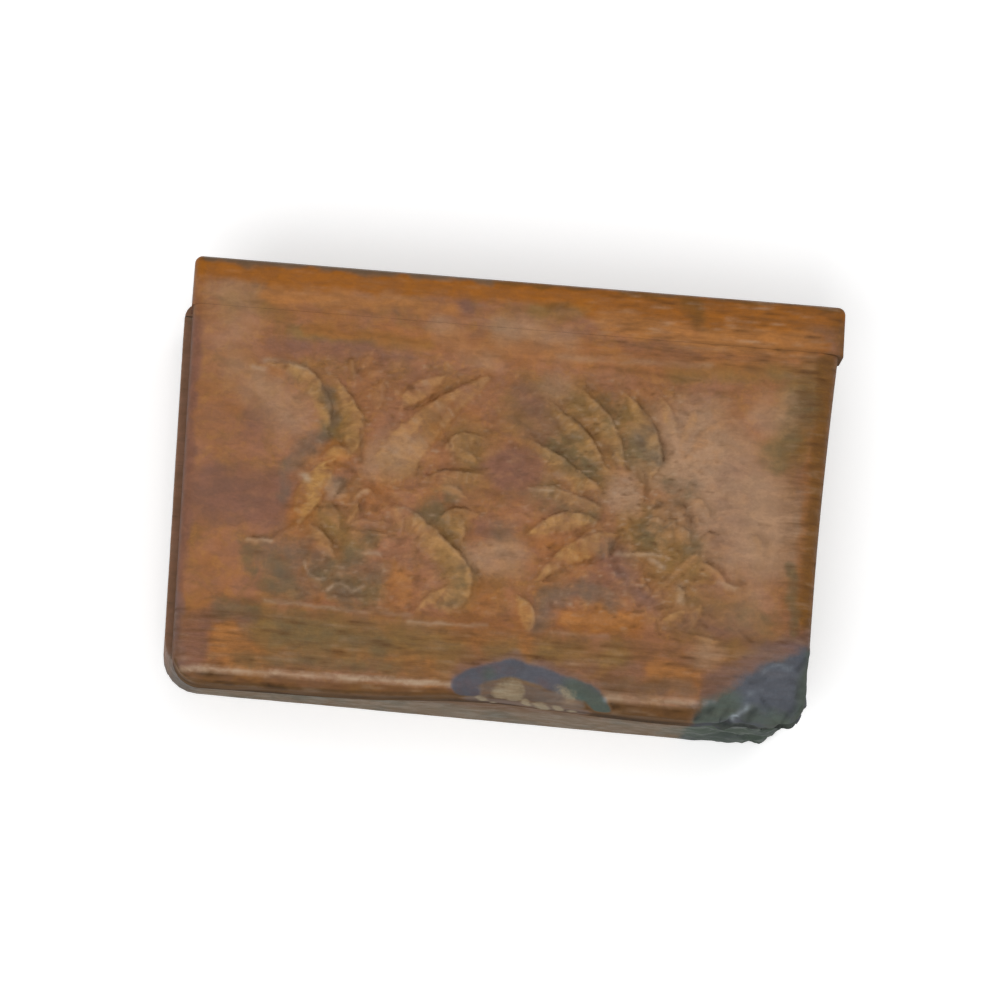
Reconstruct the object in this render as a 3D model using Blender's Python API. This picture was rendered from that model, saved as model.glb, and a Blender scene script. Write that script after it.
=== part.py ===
"""Carved wooden trinket box with a hinged lid, metres, +Z up, front towards -Y.

The body is four walls with lapped corners round a grooved bottom panel. The lid is a carved
board with a rail tongued on behind it. The rail hangs over the back wall, and two brass butt
hinges are let in under it, so the rail is also the stop that the open lid leans on.
"""
import math

import bmesh
import bpy
from mathutils import Matrix, Vector

# Lid
rail_length = 0.1200
rail_depth = 0.0094
rail_proud_left = 0.0003
rail_proud_right = 0.0009
rail_corner_radius = 0.0014
rail_edge_radius = 0.0020
rail_overhang = 0.0069
board_depth = 0.0686
board_taper_left = 0.0011
board_taper_right = 0.0026
board_waist = 0.0003
lid_thickness = 0.0085
lid_edge_radius = 0.0018
lid_under_radius = 0.0004
lid_corner_radius = 0.0055
lid_worn_radius = 0.0038
tongue_length = 0.0024
tongue_thickness = 0.0028
tongue_shoulder = 0.0040

# Sunken field, and the border that falls away in front of it
field_depth = 0.0012
field_border_left = 0.0040
field_border_right = 0.0046
field_border_back_left = 0.0036
field_border_back_right = 0.0062
field_border_front_left = 0.0130
field_border_front_right = 0.0118
field_cove = 0.0028
field_corner_radius = 0.0045
front_fall = 0.0010
leaf_relief = 0.0008
leaf_edge = 0.0003

# Body
body_height = 0.0182
body_ledge_left = 0.0014
body_inset_right = 0.0009
body_setback_front = 0.0015
body_front_skew = 0.0020
body_front_radius = 0.0068
body_back_radius = 0.0030
body_worn_radius = 0.0080
body_foot_radius = 0.0008
body_rim_radius = 0.0003
front_wall_thickness = 0.0055
side_wall_thickness = 0.0055
back_wall_thickness = 0.0065
corner_lap = 0.0030
panel_thickness = 0.0030
panel_rise = 0.0020
panel_groove = 0.0022
felt_thickness = 0.0012
felt_corner_radius = 0.0010

# Hinges
hinge_inset = 0.0220
hinge_length = 0.0140
hinge_setback = 0.0012
leaf_width = 0.0072
leaf_thickness = 0.0006
pin_radius = 0.0006
knuckle_count = 5
screw_inset = 0.0018
screw_end_inset = 0.0030
screw_length = 0.0052
screw_radius = 0.0006
screw_head_radius = 0.0012
screw_head_edge = 0.0001

# Clearances
lid_gap = 0.0003
joint_gap = 0.0003
glue_gap = 0.0002
pin_clearance = 0.00008
knuckle_gap = 0.0003
screw_gap = 0.00015
seat_gap = 0.00015

# Faces round an edge
under_steps = 2
over_steps = 4

# Worked out from the sizes above
lid_front = 0.0
joint_line = lid_front + board_depth
rail_back = joint_line + rail_depth
body_back = rail_back - rail_overhang
lid_base = body_height + lid_gap
lid_top = lid_base + lid_thickness
board_left = -rail_length / 2 + rail_proud_left
board_right = rail_length / 2 - rail_proud_right
barrel_bore = pin_radius + pin_clearance
barrel_radius = barrel_bore + leaf_thickness
hinge_axis = Vector((0.0, body_back + hinge_setback, body_height + lid_gap / 2))
body_left = board_left - body_ledge_left
hinge_reach = rail_length / 2 - hinge_inset
box_centre_x = (rail_length / 2 + body_left) / 2
box_front = lid_front + min(0.0, body_setback_front - body_front_skew)
box_centre_y = (rail_back + box_front) / 2


def clear_scene():
    for old in list(bpy.data.objects):
        bpy.data.objects.remove(old, do_unlink=True)


def material(name, colour, roughness, metallic=0.0):
    made = bpy.data.materials.new(name)
    made.use_nodes = True
    shader = made.node_tree.nodes["Principled BSDF"]
    shader.inputs["Base Color"].default_value = (*colour, 1.0)
    shader.inputs["Roughness"].default_value = roughness
    shader.inputs["Metallic"].default_value = metallic
    made.diffuse_color = (*colour, 1.0)
    return made


def empty(name, location, parent=None):
    made = bpy.data.objects.new(name, None)
    bpy.context.collection.objects.link(made)
    made.location = location
    made.parent = parent
    return made


def place(name, mesh, finish, parent, location=(0, 0, 0)):
    if finish and not mesh.materials:
        mesh.materials.append(finish)
    made = bpy.data.objects.new(name, mesh)
    bpy.context.collection.objects.link(made)
    made.parent = parent
    made.location = location
    return made


def cutter(name, mesh, parent, location=(0, 0, 0)):
    made = place(name, mesh, None, parent, location)
    made.hide_render = True
    made.display_type = "WIRE"
    return made


def boolean(piece, operation, other, use_self=False):
    step = piece.modifiers.new(other.name, "BOOLEAN")
    step.operation = operation
    step.solver = "EXACT"
    step.object = other
    step.use_self = use_self


def finish_mesh(bm, name, smooth_angle=None):
    bmesh.ops.recalc_face_normals(bm, faces=bm.faces)
    mesh = bpy.data.meshes.new(name)
    bm.to_mesh(mesh)
    bm.free()
    if smooth_angle:
        mesh.shade_smooth()
        mesh.set_sharp_from_angle(angle=math.radians(smooth_angle))
    return mesh


def add_loft(bm, rings):
    """Bridges rings of points into one closed body."""
    loops = []
    for ring in rings:
        verts = [bm.verts.new(point) for point in ring]
        edges = [bm.edges.new((a, b)) for a, b in zip(verts, verts[1:] + verts[:1])]
        loops.append((verts, edges))
    for (_, lower), (_, upper) in zip(loops, loops[1:]):
        bmesh.ops.bridge_loops(bm, edges=lower + upper)
    bm.faces.new(loops[0][0])
    bm.faces.new(loops[-1][0])


def add_box(bm, low, high):
    size = [b - a for a, b in zip(low, high)]
    middle = [(a + b) / 2 for a, b in zip(low, high)]
    matrix = Matrix.Translation(middle) @ Matrix.Diagonal((*size, 1.0))
    bmesh.ops.create_cube(bm, size=1.0, matrix=matrix)


def add_turned(bm, profile, centre, up=1, steps=12):
    """Spins a profile of (radius, height) pairs, top first, about an upright axis at a centre."""
    verts = [bm.verts.new(centre + Vector((radius, 0.0, height * up))) for radius, height in profile]
    edges = [bm.edges.new(pair) for pair in zip(verts, verts[1:])]
    bmesh.ops.spin(
        bm, geom=verts + edges, axis=(0, 0, 1), cent=centre,
        angle=math.tau, steps=steps, use_merge=True)
    bmesh.ops.remove_doubles(bm, verts=bm.verts, dist=1e-6)


def side_lines(left, right, front, back):
    """Four sides of a plan, each a pair of points, in the order front, right, back, left."""
    corners = [
        (left[0], front[0]), (right[0], front[1]),
        (right[1], back), (left[1], back)]
    points = [Vector(corner) for corner in corners]
    return list(zip(points, points[1:] + points[:1]))


def meet(first, second):
    """The point where two lines cross, each given by two points."""
    p, r = first[0], first[1] - first[0]
    q, s = second[0], second[1] - second[0]
    return p + r * ((q - p).cross(s) / r.cross(s))


def inset_lines(lines, amounts):
    moved = []
    for (start, end), amount in zip(lines, amounts):
        along = (end - start).normalized()
        inward = Vector((-along.y, along.x)) * amount
        moved.append((start + inward, end + inward))
    return moved


def outline(lines, radii, arc_steps=6, right_steps=0, waist=0.0):
    """Plan outline with a round at each corner: front left, front right, back right, back left."""
    points = []
    for index, radius in enumerate(radii):
        before, after = lines[index - 1], lines[index]
        corner = meet(before, after)
        if radius <= 0:
            points.append(corner)
        else:
            back = (before[0] - before[1]).normalized()
            ahead = (after[1] - after[0]).normalized()
            half = back.angle(ahead) / 2
            centre = corner + (back + ahead).normalized() * (radius / math.sin(half))
            start = corner + back * (radius / math.tan(half)) - centre
            end = corner + ahead * (radius / math.tan(half)) - centre
            turn = start.angle_signed(end)
            for step in range(arc_steps + 1):
                spin = Matrix.Rotation(-turn * step / arc_steps, 2)
                points.append(centre + spin @ start)
        if index == 1 and right_steps:
            top = meet(lines[1], lines[2])
            base = points[-1]
            for step in range(1, right_steps):
                share = step / right_steps
                point = base.lerp(top, share)
                point.x -= waist * math.sin(math.pi * share)
                points.append(point)
    return points


def slab(lines, radii, low, high, under, over, fixed_side=None, **shape):
    """A thick board: its plan outline, rounded above and below except along the fixed side."""
    heights = []
    for step in range(under_steps + 1):
        turn = math.pi / 2 * step / under_steps
        heights.append((under * (1 - math.sin(turn)), low + under * (1 - math.cos(turn))))
    for step in range(over_steps + 1):
        turn = math.pi / 2 * step / over_steps
        heights.append((over * (1 - math.cos(turn)), high - over + over * math.sin(turn)))
    rings = []
    for inset, height in heights:
        amounts = [0.0 if side == fixed_side else inset for side in range(4)]
        smaller = [max(radius - inset, radius * 0.3) for radius in radii]
        flat = outline(inset_lines(lines, amounts), smaller, **shape)
        rings.append([(point.x, point.y, height) for point in flat])
    return rings


def prism(lines, low, high):
    flat = outline(lines, [0, 0, 0, 0])
    return [[(point.x, point.y, height) for point in flat] for height in (low, high)]


def mesh_of(name, *lofts, smooth_angle=None):
    bm = bmesh.new()
    for rings in lofts:
        add_loft(bm, rings)
    return finish_mesh(bm, name, smooth_angle)


def left_of(line_y, offset=0.0):
    """The lid board's left side, carried on past its ends."""
    share = (joint_line - line_y) / board_depth
    return board_left + board_taper_left * share + offset


def right_of(line_y, offset=0.0):
    share = (joint_line - line_y) / board_depth
    return board_right - board_taper_right * share + offset


# Body plan: outer sides, and the inner sides that the cavity, groove, panel and felt share
front_left_y = lid_front + body_setback_front
front_right_y = front_left_y - body_front_skew
body_sides = side_lines(
    left=(left_of(front_left_y, -body_ledge_left), left_of(body_back, -body_ledge_left)),
    right=(right_of(front_right_y, -body_inset_right), right_of(body_back, -body_inset_right)),
    front=(front_left_y, front_right_y),
    back=body_back)
wall_thicknesses = [front_wall_thickness, side_wall_thickness, back_wall_thickness, side_wall_thickness]
inner_sides = inset_lines(body_sides, wall_thicknesses)
panel_low = panel_rise
panel_high = panel_rise + panel_thickness
felt_low = panel_high + joint_gap


def body_cutters(root):
    """The shapes that turn four copies of the body blank into four walls."""
    made = {}
    cavity = prism(inner_sides, -body_height, body_height * 2)
    made["cavity"] = cutter("cavity", mesh_of("cavity", cavity), root)
    grooved = inset_lines(inner_sides, [-panel_groove] * 4)
    groove = prism(grooved, panel_low - joint_gap, panel_high + joint_gap)
    made["panel_groove"] = cutter("panel_groove", mesh_of("panel_groove", groove), root)
    middle_x = (board_left + board_right) / 2
    reach = rail_length
    for side in ("left", "right"):
        inner = inner_sides[3] if side == "left" else inner_sides[1]
        outward = -reach if side == "left" else reach
        lap_front = inset_lines(body_sides, [corner_lap] * 4)[0]
        lap_back = inset_lines(body_sides, [corner_lap] * 4)[2]
        for grow, tag in ((0.0, "side"), (glue_gap, "seat")):
            step = -grow if side == "right" else grow
            shifted = (inner[0] + Vector((step, 0)), inner[1] + Vector((step, 0)))
            front_cut = (lap_front[0] - Vector((0, grow)), lap_front[1] - Vector((0, grow)))
            back_cut = (lap_back[0] + Vector((0, grow)), lap_back[1] + Vector((0, grow)))
            near = [meet(front_cut, shifted), meet(back_cut, shifted)]
            away = (Vector((outward, 0.0)), Vector((outward, 1.0)))
            far = [meet(front_cut, away), meet(back_cut, away)]
            plan = [far[0], near[0], near[1], far[1]]
            rings = [[(p.x, p.y, z) for p in plan] for z in (-body_height, body_height * 2)]
            name = f"{side}_{tag}"
            made[name] = cutter(name, mesh_of(name, rings), root)
    middle_y = (front_left_y + body_back) / 2
    for side, far_y in (("front", middle_y - reach), ("back", middle_y + reach)):
        bm = bmesh.new()
        low = (middle_x - reach, min(middle_y, far_y), -body_height)
        high = (middle_x + reach, max(middle_y, far_y), body_height * 2)
        add_box(bm, low, high)
        name = f"{side}_half"
        made[name] = cutter(name, finish_mesh(bm, name), root)
    return made


def body_walls(root, wood, hinge_cuts):
    cuts = body_cutters(root)
    chips = worn_chips("wall_chips", body_worn_radius, wall_scoops, root, Vector())
    radii = [body_front_radius, body_worn_radius, body_back_radius, body_back_radius]
    blank = mesh_of("body_blank", slab(
        body_sides, radii, 0.0, body_height, body_foot_radius, body_rim_radius), smooth_angle=30)
    walls = {}
    for side in ("left", "right", "front", "back"):
        wall = place(f"{side}_wall", blank, wood, root)
        boolean(wall, "DIFFERENCE", cuts["cavity"])
        boolean(wall, "DIFFERENCE", cuts["panel_groove"])
        if side in ("left", "right"):
            boolean(wall, "INTERSECT", cuts[f"{side}_side"])
        else:
            boolean(wall, "INTERSECT", cuts[f"{side}_half"])
            boolean(wall, "DIFFERENCE", cuts["left_seat"])
            boolean(wall, "DIFFERENCE", cuts["right_seat"])
        walls[side] = wall
    for side in ("front", "right"):
        boolean(walls[side], "DIFFERENCE", chips, use_self=True)
    for cut in hinge_cuts:
        boolean(walls["back"], "DIFFERENCE", cut)


def bottom(root, wood, felt):
    panel = inset_lines(inner_sides, [joint_gap - panel_groove] * 4)
    place("bottom_panel", mesh_of("bottom_panel", prism(panel, panel_low, panel_high)), wood, root)
    pad = inset_lines(inner_sides, [joint_gap] * 4)
    rings = slab(
        pad, [felt_corner_radius] * 4, felt_low, felt_low + felt_thickness,
        felt_thickness / 6, felt_thickness / 3, arc_steps=3)
    place("base_lining", mesh_of("base_lining", rings), felt, root)


# Carving: each leaf is (root x, root y, tip x, tip y, width, bend), as shares of the field's
# width and depth from its front left corner, with the width and bend as real lengths.
left_spray = [
    (0.184, 0.671, 0.067, 0.928, 0.0034, -0.0034),
    (0.219, 0.579, 0.191, 0.890, 0.0038, -0.0022),
    (0.269, 0.785, 0.275, 0.907, 0.0024, 0.0005),
    (0.254, 0.536, 0.456, 0.946, 0.0052, 0.0014),
    (0.308, 0.800, 0.383, 0.951, 0.0036, 0.0005),
    (0.394, 0.651, 0.458, 0.706, 0.0036, 0.0004),
    (0.357, 0.514, 0.462, 0.553, 0.0034, 0.0003),
    (0.393, 0.372, 0.460, 0.396, 0.0036, -0.0002),
    (0.315, 0.378, 0.419, 0.198, 0.0036, 0.0004),
    (0.425, 0.194, 0.420, 0.030, 0.0036, 0.0018),
    (0.404, 0.088, 0.363, 0.010, 0.0018, 0.0002),
    (0.197, 0.565, 0.141, 0.289, 0.0050, -0.0008),
    (0.161, 0.290, 0.210, 0.170, 0.0024, 0.0002),
    (0.230, 0.327, 0.275, 0.424, 0.0018, 0.0012),
]
right_spray = [
    (0.671, 0.544, 0.539, 0.723, 0.0038, 0.0008),
    (0.682, 0.623, 0.570, 0.886, 0.0034, -0.0002),
    (0.712, 0.642, 0.626, 0.944, 0.0032, -0.0008),
    (0.761, 0.609, 0.701, 0.944, 0.0036, -0.0020),
    (0.796, 0.800, 0.764, 0.938, 0.0022, -0.0002),
    (0.676, 0.469, 0.544, 0.528, 0.0028, -0.0002),
    (0.671, 0.421, 0.550, 0.346, 0.0036, -0.0007),
    (0.717, 0.369, 0.572, 0.158, 0.0046, -0.0007),
    (0.563, 0.020, 0.543, 0.080, 0.0026, -0.0004),
    (0.781, 0.114, 0.851, 0.299, 0.0019, 0.0002),
    (0.840, 0.074, 0.807, 0.029, 0.0020, 0.0002),
    (0.872, 0.264, 0.930, 0.200, 0.0016, -0.0004),
]
flower_centre = (0.806, 0.439)
flower_petals = 7
petal_length = 0.0046
petal_width = 0.0034


def field_lines(extra=0.0):
    borders = side_lines(
        left=(left_of(lid_front, field_border_left), left_of(joint_line, field_border_left)),
        right=(right_of(lid_front, -field_border_right), right_of(joint_line, -field_border_right)),
        front=(lid_front + field_border_front_left, lid_front + field_border_front_right),
        back=joint_line)
    back = (
        Vector((board_right, joint_line - field_border_back_right)),
        Vector((board_left, joint_line - field_border_back_left)))
    borders[2] = back
    return inset_lines(borders, [extra] * 4)


def field_point(share_x, share_y):
    """A place on the field's floor, from shares of its width and depth."""
    front_left, front_right, back_right, back_left = outline(field_lines(field_cove), [0, 0, 0, 0])
    front = front_left.lerp(front_right, share_x)
    back = back_left.lerp(back_right, share_x)
    return front.lerp(back, share_y)


def add_leaf(bm, start, end, width, bend, relief, sections=6):
    """A carved leaf: a ridged blade with cut edges that rises from the field's floor."""
    floor = lid_top - field_depth
    along = (end - start)
    across = Vector((-along.y, along.x)).normalized()
    middle = (start + end) / 2 + across * bend * 2
    rings = []
    for step in range(sections + 1):
        share = step / sections
        point = start.lerp(middle, share).lerp(middle.lerp(end, share), share)
        ahead = (middle - start).lerp(end - middle, share).normalized()
        side = Vector((-ahead.y, ahead.x))
        half = width / 2 * max(math.sin(math.pi * share ** 0.8), 0.12)
        crest = floor + relief * (0.55 + 0.45 * math.sin(math.pi * share))
        rim = floor + leaf_edge
        base = floor - leaf_edge
        rings.append([
            (*(point - side * half), base), (*(point - side * half), rim), (*point, crest),
            (*(point + side * half), rim), (*(point + side * half), base)])
    add_loft(bm, rings)


def carving(parent, offset):
    bm = bmesh.new()
    for start_x, start_y, end_x, end_y, width, bend in left_spray + right_spray:
        add_leaf(bm, field_point(start_x, start_y), field_point(end_x, end_y), width, bend, leaf_relief)
    centre = field_point(*flower_centre)
    for petal in range(flower_petals):
        turn = math.tau * petal / flower_petals
        direction = Vector((math.cos(turn), math.sin(turn)))
        add_leaf(
            bm, centre + direction * petal_width * 0.3, centre + direction * petal_length,
            petal_width, 0.0, leaf_relief, sections=4)
    return cutter("carving", finish_mesh(bm, "carving"), parent, offset)


# Scoops out of the worn front right corner: degrees round it, height, radius and bite
lid_scoops = [
    (-76, lid_top - 0.0004, 0.0042, 0.0014),
    (-40, lid_top + 0.0006, 0.0050, 0.0020),
    (-6, lid_top + 0.0002, 0.0044, 0.0012),
    (-58, lid_base + 0.0008, 0.0040, 0.0010),
]
wall_scoops = [
    (-66, body_height - 0.0012, 0.0050, 0.0016),
    (-22, body_height - 0.0050, 0.0060, 0.0012),
    (-84, body_height * 0.42, 0.0050, 0.0012),
    (-50, body_height * 0.25, 0.0056, 0.0012),
]


def worn_chips(name, radius, scoops, parent, offset):
    bm = bmesh.new()
    corner = Vector((right_of(lid_front), lid_front))
    centre = corner + Vector((-radius, radius))
    for turn, height, size, bite in scoops:
        outward = Vector((math.cos(math.radians(turn)), math.sin(math.radians(turn))))
        point = centre + outward * (radius + size - bite)
        matrix = Matrix.Translation((*point, height))
        bmesh.ops.create_icosphere(bm, subdivisions=2, radius=size, matrix=matrix)
    return cutter(name, finish_mesh(bm, name), parent, offset)


def tongue_cutter(name, around, ahead, parent, offset):
    """The tongue on the back of the board, grown a little for its groove in the rail."""
    middle_z = (lid_base + lid_top) / 2
    half = tongue_thickness / 2 + around
    inside = tongue_length / 2
    bm = bmesh.new()
    add_box(
        bm, (board_left + tongue_shoulder - around, joint_line - inside, middle_z - half),
        (board_right - tongue_shoulder + around, joint_line + tongue_length + ahead, middle_z + half))
    return cutter(name, finish_mesh(bm, name), parent, offset)


def lid_board(parent, offset, wood, plates, holes):
    sides = side_lines(
        left=(left_of(lid_front), left_of(joint_line)),
        right=(right_of(lid_front), right_of(joint_line)),
        front=(lid_front, lid_front),
        back=joint_line)
    radii = [lid_corner_radius, lid_worn_radius, 0, 0]
    bm = bmesh.new()
    add_loft(bm, slab(
        sides, radii, lid_base, lid_top, lid_under_radius, lid_edge_radius, fixed_side=2,
        right_steps=8, waist=board_waist))
    ridge_left = Vector((board_left, lid_front + field_border_front_left))
    ridge_right = Vector((board_right, lid_front + field_border_front_right))
    along = (ridge_right - ridge_left).normalized()
    across = Vector((-along.y, along.x))
    everything = list(bm.verts) + list(bm.edges) + list(bm.faces)
    bmesh.ops.bisect_plane(
        bm, geom=everything, dist=1e-7, plane_co=(*ridge_left, 0), plane_no=(*across, 0))
    for vert in bm.verts:
        ahead = -(Vector(vert.co[:2]) - ridge_left).dot(across)
        if ahead > 0 and vert.co.z > lid_base + lid_thickness / 2:
            vert.co.z -= front_fall * ahead / field_border_front_left
    board = place("lid_board", finish_mesh(bm, "lid_board", 30), wood, parent, offset)

    boolean(board, "UNION", tongue_cutter("tongue", 0.0, 0.0, parent, offset))

    cove_steps = 3
    rings = []
    for step in range(cove_steps + 1):
        turn = math.pi / 2 * step / cove_steps
        inset = field_cove * math.sin(turn)
        depth = field_depth * (1 - math.cos(turn)) if step < cove_steps else field_depth
        flat = outline(field_lines(inset), [field_corner_radius] * 4, arc_steps=4)
        rings.append([(p.x, p.y, lid_top - depth) for p in flat])
    above = [(x, y, lid_top + field_depth) for x, y, _ in rings[0]]
    boolean(board, "DIFFERENCE", cutter("field", mesh_of("field", [above] + rings), parent, offset))
    chips = worn_chips("lid_chips", lid_worn_radius, lid_scoops, parent, offset)
    boolean(board, "DIFFERENCE", chips, use_self=True)
    boolean(board, "UNION", carving(parent, offset), use_self=True)
    boolean(board, "DIFFERENCE", plates)
    boolean(board, "DIFFERENCE", holes)


def back_rail(parent, offset, wood, plates, barrels):
    sides = side_lines(
        left=(-rail_length / 2, -rail_length / 2), right=(rail_length / 2, rail_length / 2),
        front=(joint_line + glue_gap, joint_line + glue_gap), back=rail_back)
    radii = [0, 0, rail_corner_radius, rail_corner_radius]
    rings = slab(sides, radii, lid_base, lid_top, lid_under_radius, rail_edge_radius, fixed_side=0)
    rail = place("back_rail", mesh_of("back_rail", rings, smooth_angle=30), wood, parent, offset)
    boolean(rail, "DIFFERENCE", tongue_cutter("tongue_groove", glue_gap, joint_gap, parent, offset))
    boolean(rail, "DIFFERENCE", plates)
    boolean(rail, "DIFFERENCE", barrels)


def screw_profile(gap=0.0):
    """Countersunk screw, its head's face at height 0, grown by a gap for the hole it sits in."""
    head = screw_head_radius + gap
    shank = screw_radius + gap
    top = gap * 4
    neck = -screw_head_edge - (screw_head_radius - screw_radius)
    return [
        (0.0, top), (head, top), (head, -screw_head_edge), (shank, neck),
        (shank, -screw_length + screw_radius * 2), (0.0, -screw_length - gap)]


def leaf_profile():
    """Section of a rolled hinge leaf about its pin: the plate, and its end curled into a barrel."""
    upper = -lid_gap / 2
    lower = upper - leaf_thickness
    steps = 20
    outer_start = math.pi + math.asin(-lower / barrel_radius)
    inner_end = math.pi + math.asin(-upper / barrel_bore)
    curl_end = math.radians(530)
    points = [(-leaf_width, upper), (-leaf_width, lower)]
    for step in range(steps + 1):
        turn = outer_start + (curl_end - outer_start) * step / steps
        points.append((barrel_radius * math.cos(turn), barrel_radius * math.sin(turn)))
    for step in range(steps + 1):
        turn = curl_end + (inner_end - curl_end) * step / steps
        points.append((barrel_bore * math.cos(turn), barrel_bore * math.sin(turn)))
    return points


def knuckle_span(index):
    """Both ends of one knuckle's share of the barrel, along the pin."""
    width = hinge_length / knuckle_count
    low = -hinge_length / 2 + width * index
    return low, low + width


def screw_places():
    reach = hinge_length / 2 - screw_end_inset
    row = -leaf_width + screw_inset
    return [Vector((offset, row, 0)) for offset in (-reach, reach)]


def hinge_cutters(part_name, parent, offset, up):
    """What the wood gives up to the hinges: pockets for plates, barrels and screws."""
    centres = [Vector((side * hinge_reach, 0, 0)) + hinge_axis for side in (-1, 1)]
    half = hinge_length / 2 + joint_gap
    deep = lid_gap / 2 + leaf_thickness + seat_gap
    bm = bmesh.new()
    for centre in centres:
        low = centre + Vector((-half, -leaf_width - joint_gap, -deep))
        add_box(bm, low, centre + Vector((half, barrel_radius, deep)))
    name = f"{part_name}_leaf_pockets"
    plates = cutter(name, finish_mesh(bm, name), parent, offset)
    bm = bmesh.new()
    for centre in centres:
        matrix = Matrix.Translation(centre) @ Matrix.Rotation(math.pi / 2, 4, "Y")
        bmesh.ops.create_cone(
            bm, cap_ends=True, segments=24, radius1=barrel_radius + joint_gap,
            radius2=barrel_radius + joint_gap, depth=half * 2, matrix=matrix)
    name = f"{part_name}_barrel_pockets"
    barrels = cutter(name, finish_mesh(bm, name), parent, offset)
    bm = bmesh.new()
    for centre in centres:
        for spot in screw_places():
            add_turned(bm, screw_profile(screw_gap), centre + spot - Vector((0, 0, up * lid_gap / 2)), up)
    name = f"{part_name}_screw_holes"
    holes = cutter(name, finish_mesh(bm, name), parent, offset)
    return plates, barrels, holes


def hinges(root, lid, brass, steel):
    """Both hinges: each leaf is rolled full length, then cut back for the other leaf's knuckles."""
    section = [[(x, y, z) for y, z in leaf_profile()] for x in (-hinge_length / 2, hinge_length / 2)]
    leaf_mesh = mesh_of("hinge_leaf", section, smooth_angle=30)
    gaps = {}
    reach = barrel_radius + knuckle_gap
    for tag, own in (("fixed", 0), ("moving", 1)):
        bm = bmesh.new()
        for index in range(knuckle_count):
            if index % 2 == own:
                continue
            low, high = knuckle_span(index)
            low = low - knuckle_gap / 2 if index > 0 else low - knuckle_gap
            high = high + knuckle_gap / 2 if index < knuckle_count - 1 else high + knuckle_gap
            add_box(bm, (low, -reach, -reach), (high, reach, reach))
        gaps[tag] = finish_mesh(bm, f"{tag}_knuckle_gaps")
    holes = bmesh.new()
    for spot in screw_places():
        add_turned(holes, screw_profile(screw_gap), spot - Vector((0, 0, lid_gap / 2)))
    hole_mesh = finish_mesh(holes, "leaf_screw_holes")

    bm = bmesh.new()
    matrix = Matrix.Rotation(math.pi / 2, 4, "Y")
    pin_length = hinge_length + knuckle_gap
    bmesh.ops.create_cone(
        bm, cap_ends=True, segments=16, radius1=pin_radius, radius2=pin_radius,
        depth=pin_length, matrix=matrix)
    rims = [edge for edge in bm.edges if abs(edge.verts[0].co.x - edge.verts[1].co.x) < 1e-6]
    bmesh.ops.bevel(
        bm, geom=rims, offset=pin_radius * 0.3, segments=1, profile=0.5,
        affect="EDGES", material=-1)
    pin_mesh = finish_mesh(bm, "hinge_pin", 40)

    bm = bmesh.new()
    add_turned(bm, screw_profile(), Vector())
    screw_mesh = finish_mesh(bm, "hinge_screw", 40)

    for side, sign in (("left", -1), ("right", 1)):
        centre = Vector((sign * hinge_reach, 0, 0))
        for tag, parent, base, turn in (
                ("fixed", root, hinge_axis, 0.0), ("moving", lid, Vector(), math.pi)):
            holder = empty(f"{side}_{tag}_leaf_place", centre + base, parent)
            holder.rotation_euler = (0, turn, 0)
            part_name = "body" if tag == "fixed" else "lid"
            leaf = place(f"{side}_hinge_{part_name}_leaf", leaf_mesh, brass, holder)
            boolean(leaf, "DIFFERENCE", cutter(f"{side}_{tag}_knuckle_gaps", gaps[tag], holder))
            boolean(leaf, "DIFFERENCE", cutter(f"{side}_{tag}_screw_holes", hole_mesh, holder))
            for number, spot in enumerate(screw_places(), start=1):
                place(
                    f"{side}_{part_name}_screw_{number}", screw_mesh, steel, holder,
                    spot - Vector((0, 0, lid_gap / 2)))
        place(f"{side}_hinge_pin", pin_mesh, brass, root, centre + hinge_axis)


def build():
    clear_scene()
    wood = material("lacquered wood", (0.24, 0.11, 0.045), 0.38)
    aged = material("aged wood", (0.17, 0.13, 0.10), 0.55)
    plain = material("plain wood", (0.27, 0.17, 0.09), 0.6)
    felt = material("felt", (0.18, 0.03, 0.03), 0.95)
    brass = material("brass", (0.55, 0.40, 0.16), 0.35, 1.0)
    steel = material("screw brass", (0.50, 0.38, 0.18), 0.3, 1.0)

    root = empty("box_origin", (-box_centre_x, -box_centre_y, 0.0))
    lid = empty("lid_hinge_axis", hinge_axis, root)
    body_walls(root, aged, hinge_cutters("body", root, Vector(), 1))
    bottom(root, plain, felt)
    plates, barrels, holes = hinge_cutters("lid", lid, -hinge_axis, -1)
    lid_board(lid, -hinge_axis, wood, plates, holes)
    back_rail(lid, -hinge_axis, wood, plates, barrels)
    hinges(root, lid, brass, steel)


build()
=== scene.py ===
import math

import bmesh
import bpy
import numpy as np
from mathutils import Matrix, Vector, noise


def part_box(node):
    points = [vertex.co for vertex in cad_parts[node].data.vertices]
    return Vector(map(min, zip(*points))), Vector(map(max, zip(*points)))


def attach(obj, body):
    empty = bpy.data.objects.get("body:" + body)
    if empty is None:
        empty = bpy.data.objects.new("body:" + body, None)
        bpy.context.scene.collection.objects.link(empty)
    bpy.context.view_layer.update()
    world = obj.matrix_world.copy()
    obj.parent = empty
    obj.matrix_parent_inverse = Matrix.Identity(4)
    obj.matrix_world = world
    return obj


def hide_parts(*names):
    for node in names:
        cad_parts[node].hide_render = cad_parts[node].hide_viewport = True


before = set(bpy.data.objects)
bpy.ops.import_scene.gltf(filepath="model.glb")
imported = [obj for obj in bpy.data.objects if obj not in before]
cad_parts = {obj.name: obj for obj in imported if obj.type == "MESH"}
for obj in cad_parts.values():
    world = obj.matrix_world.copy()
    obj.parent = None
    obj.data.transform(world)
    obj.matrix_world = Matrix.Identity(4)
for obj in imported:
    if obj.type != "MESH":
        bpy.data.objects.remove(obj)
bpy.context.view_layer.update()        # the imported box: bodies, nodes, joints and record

scene = bpy.context.scene
mm = 0.001
print("frame loaded")


# ---- shared helpers; points are in millimetres unless a note says otherwise

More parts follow.
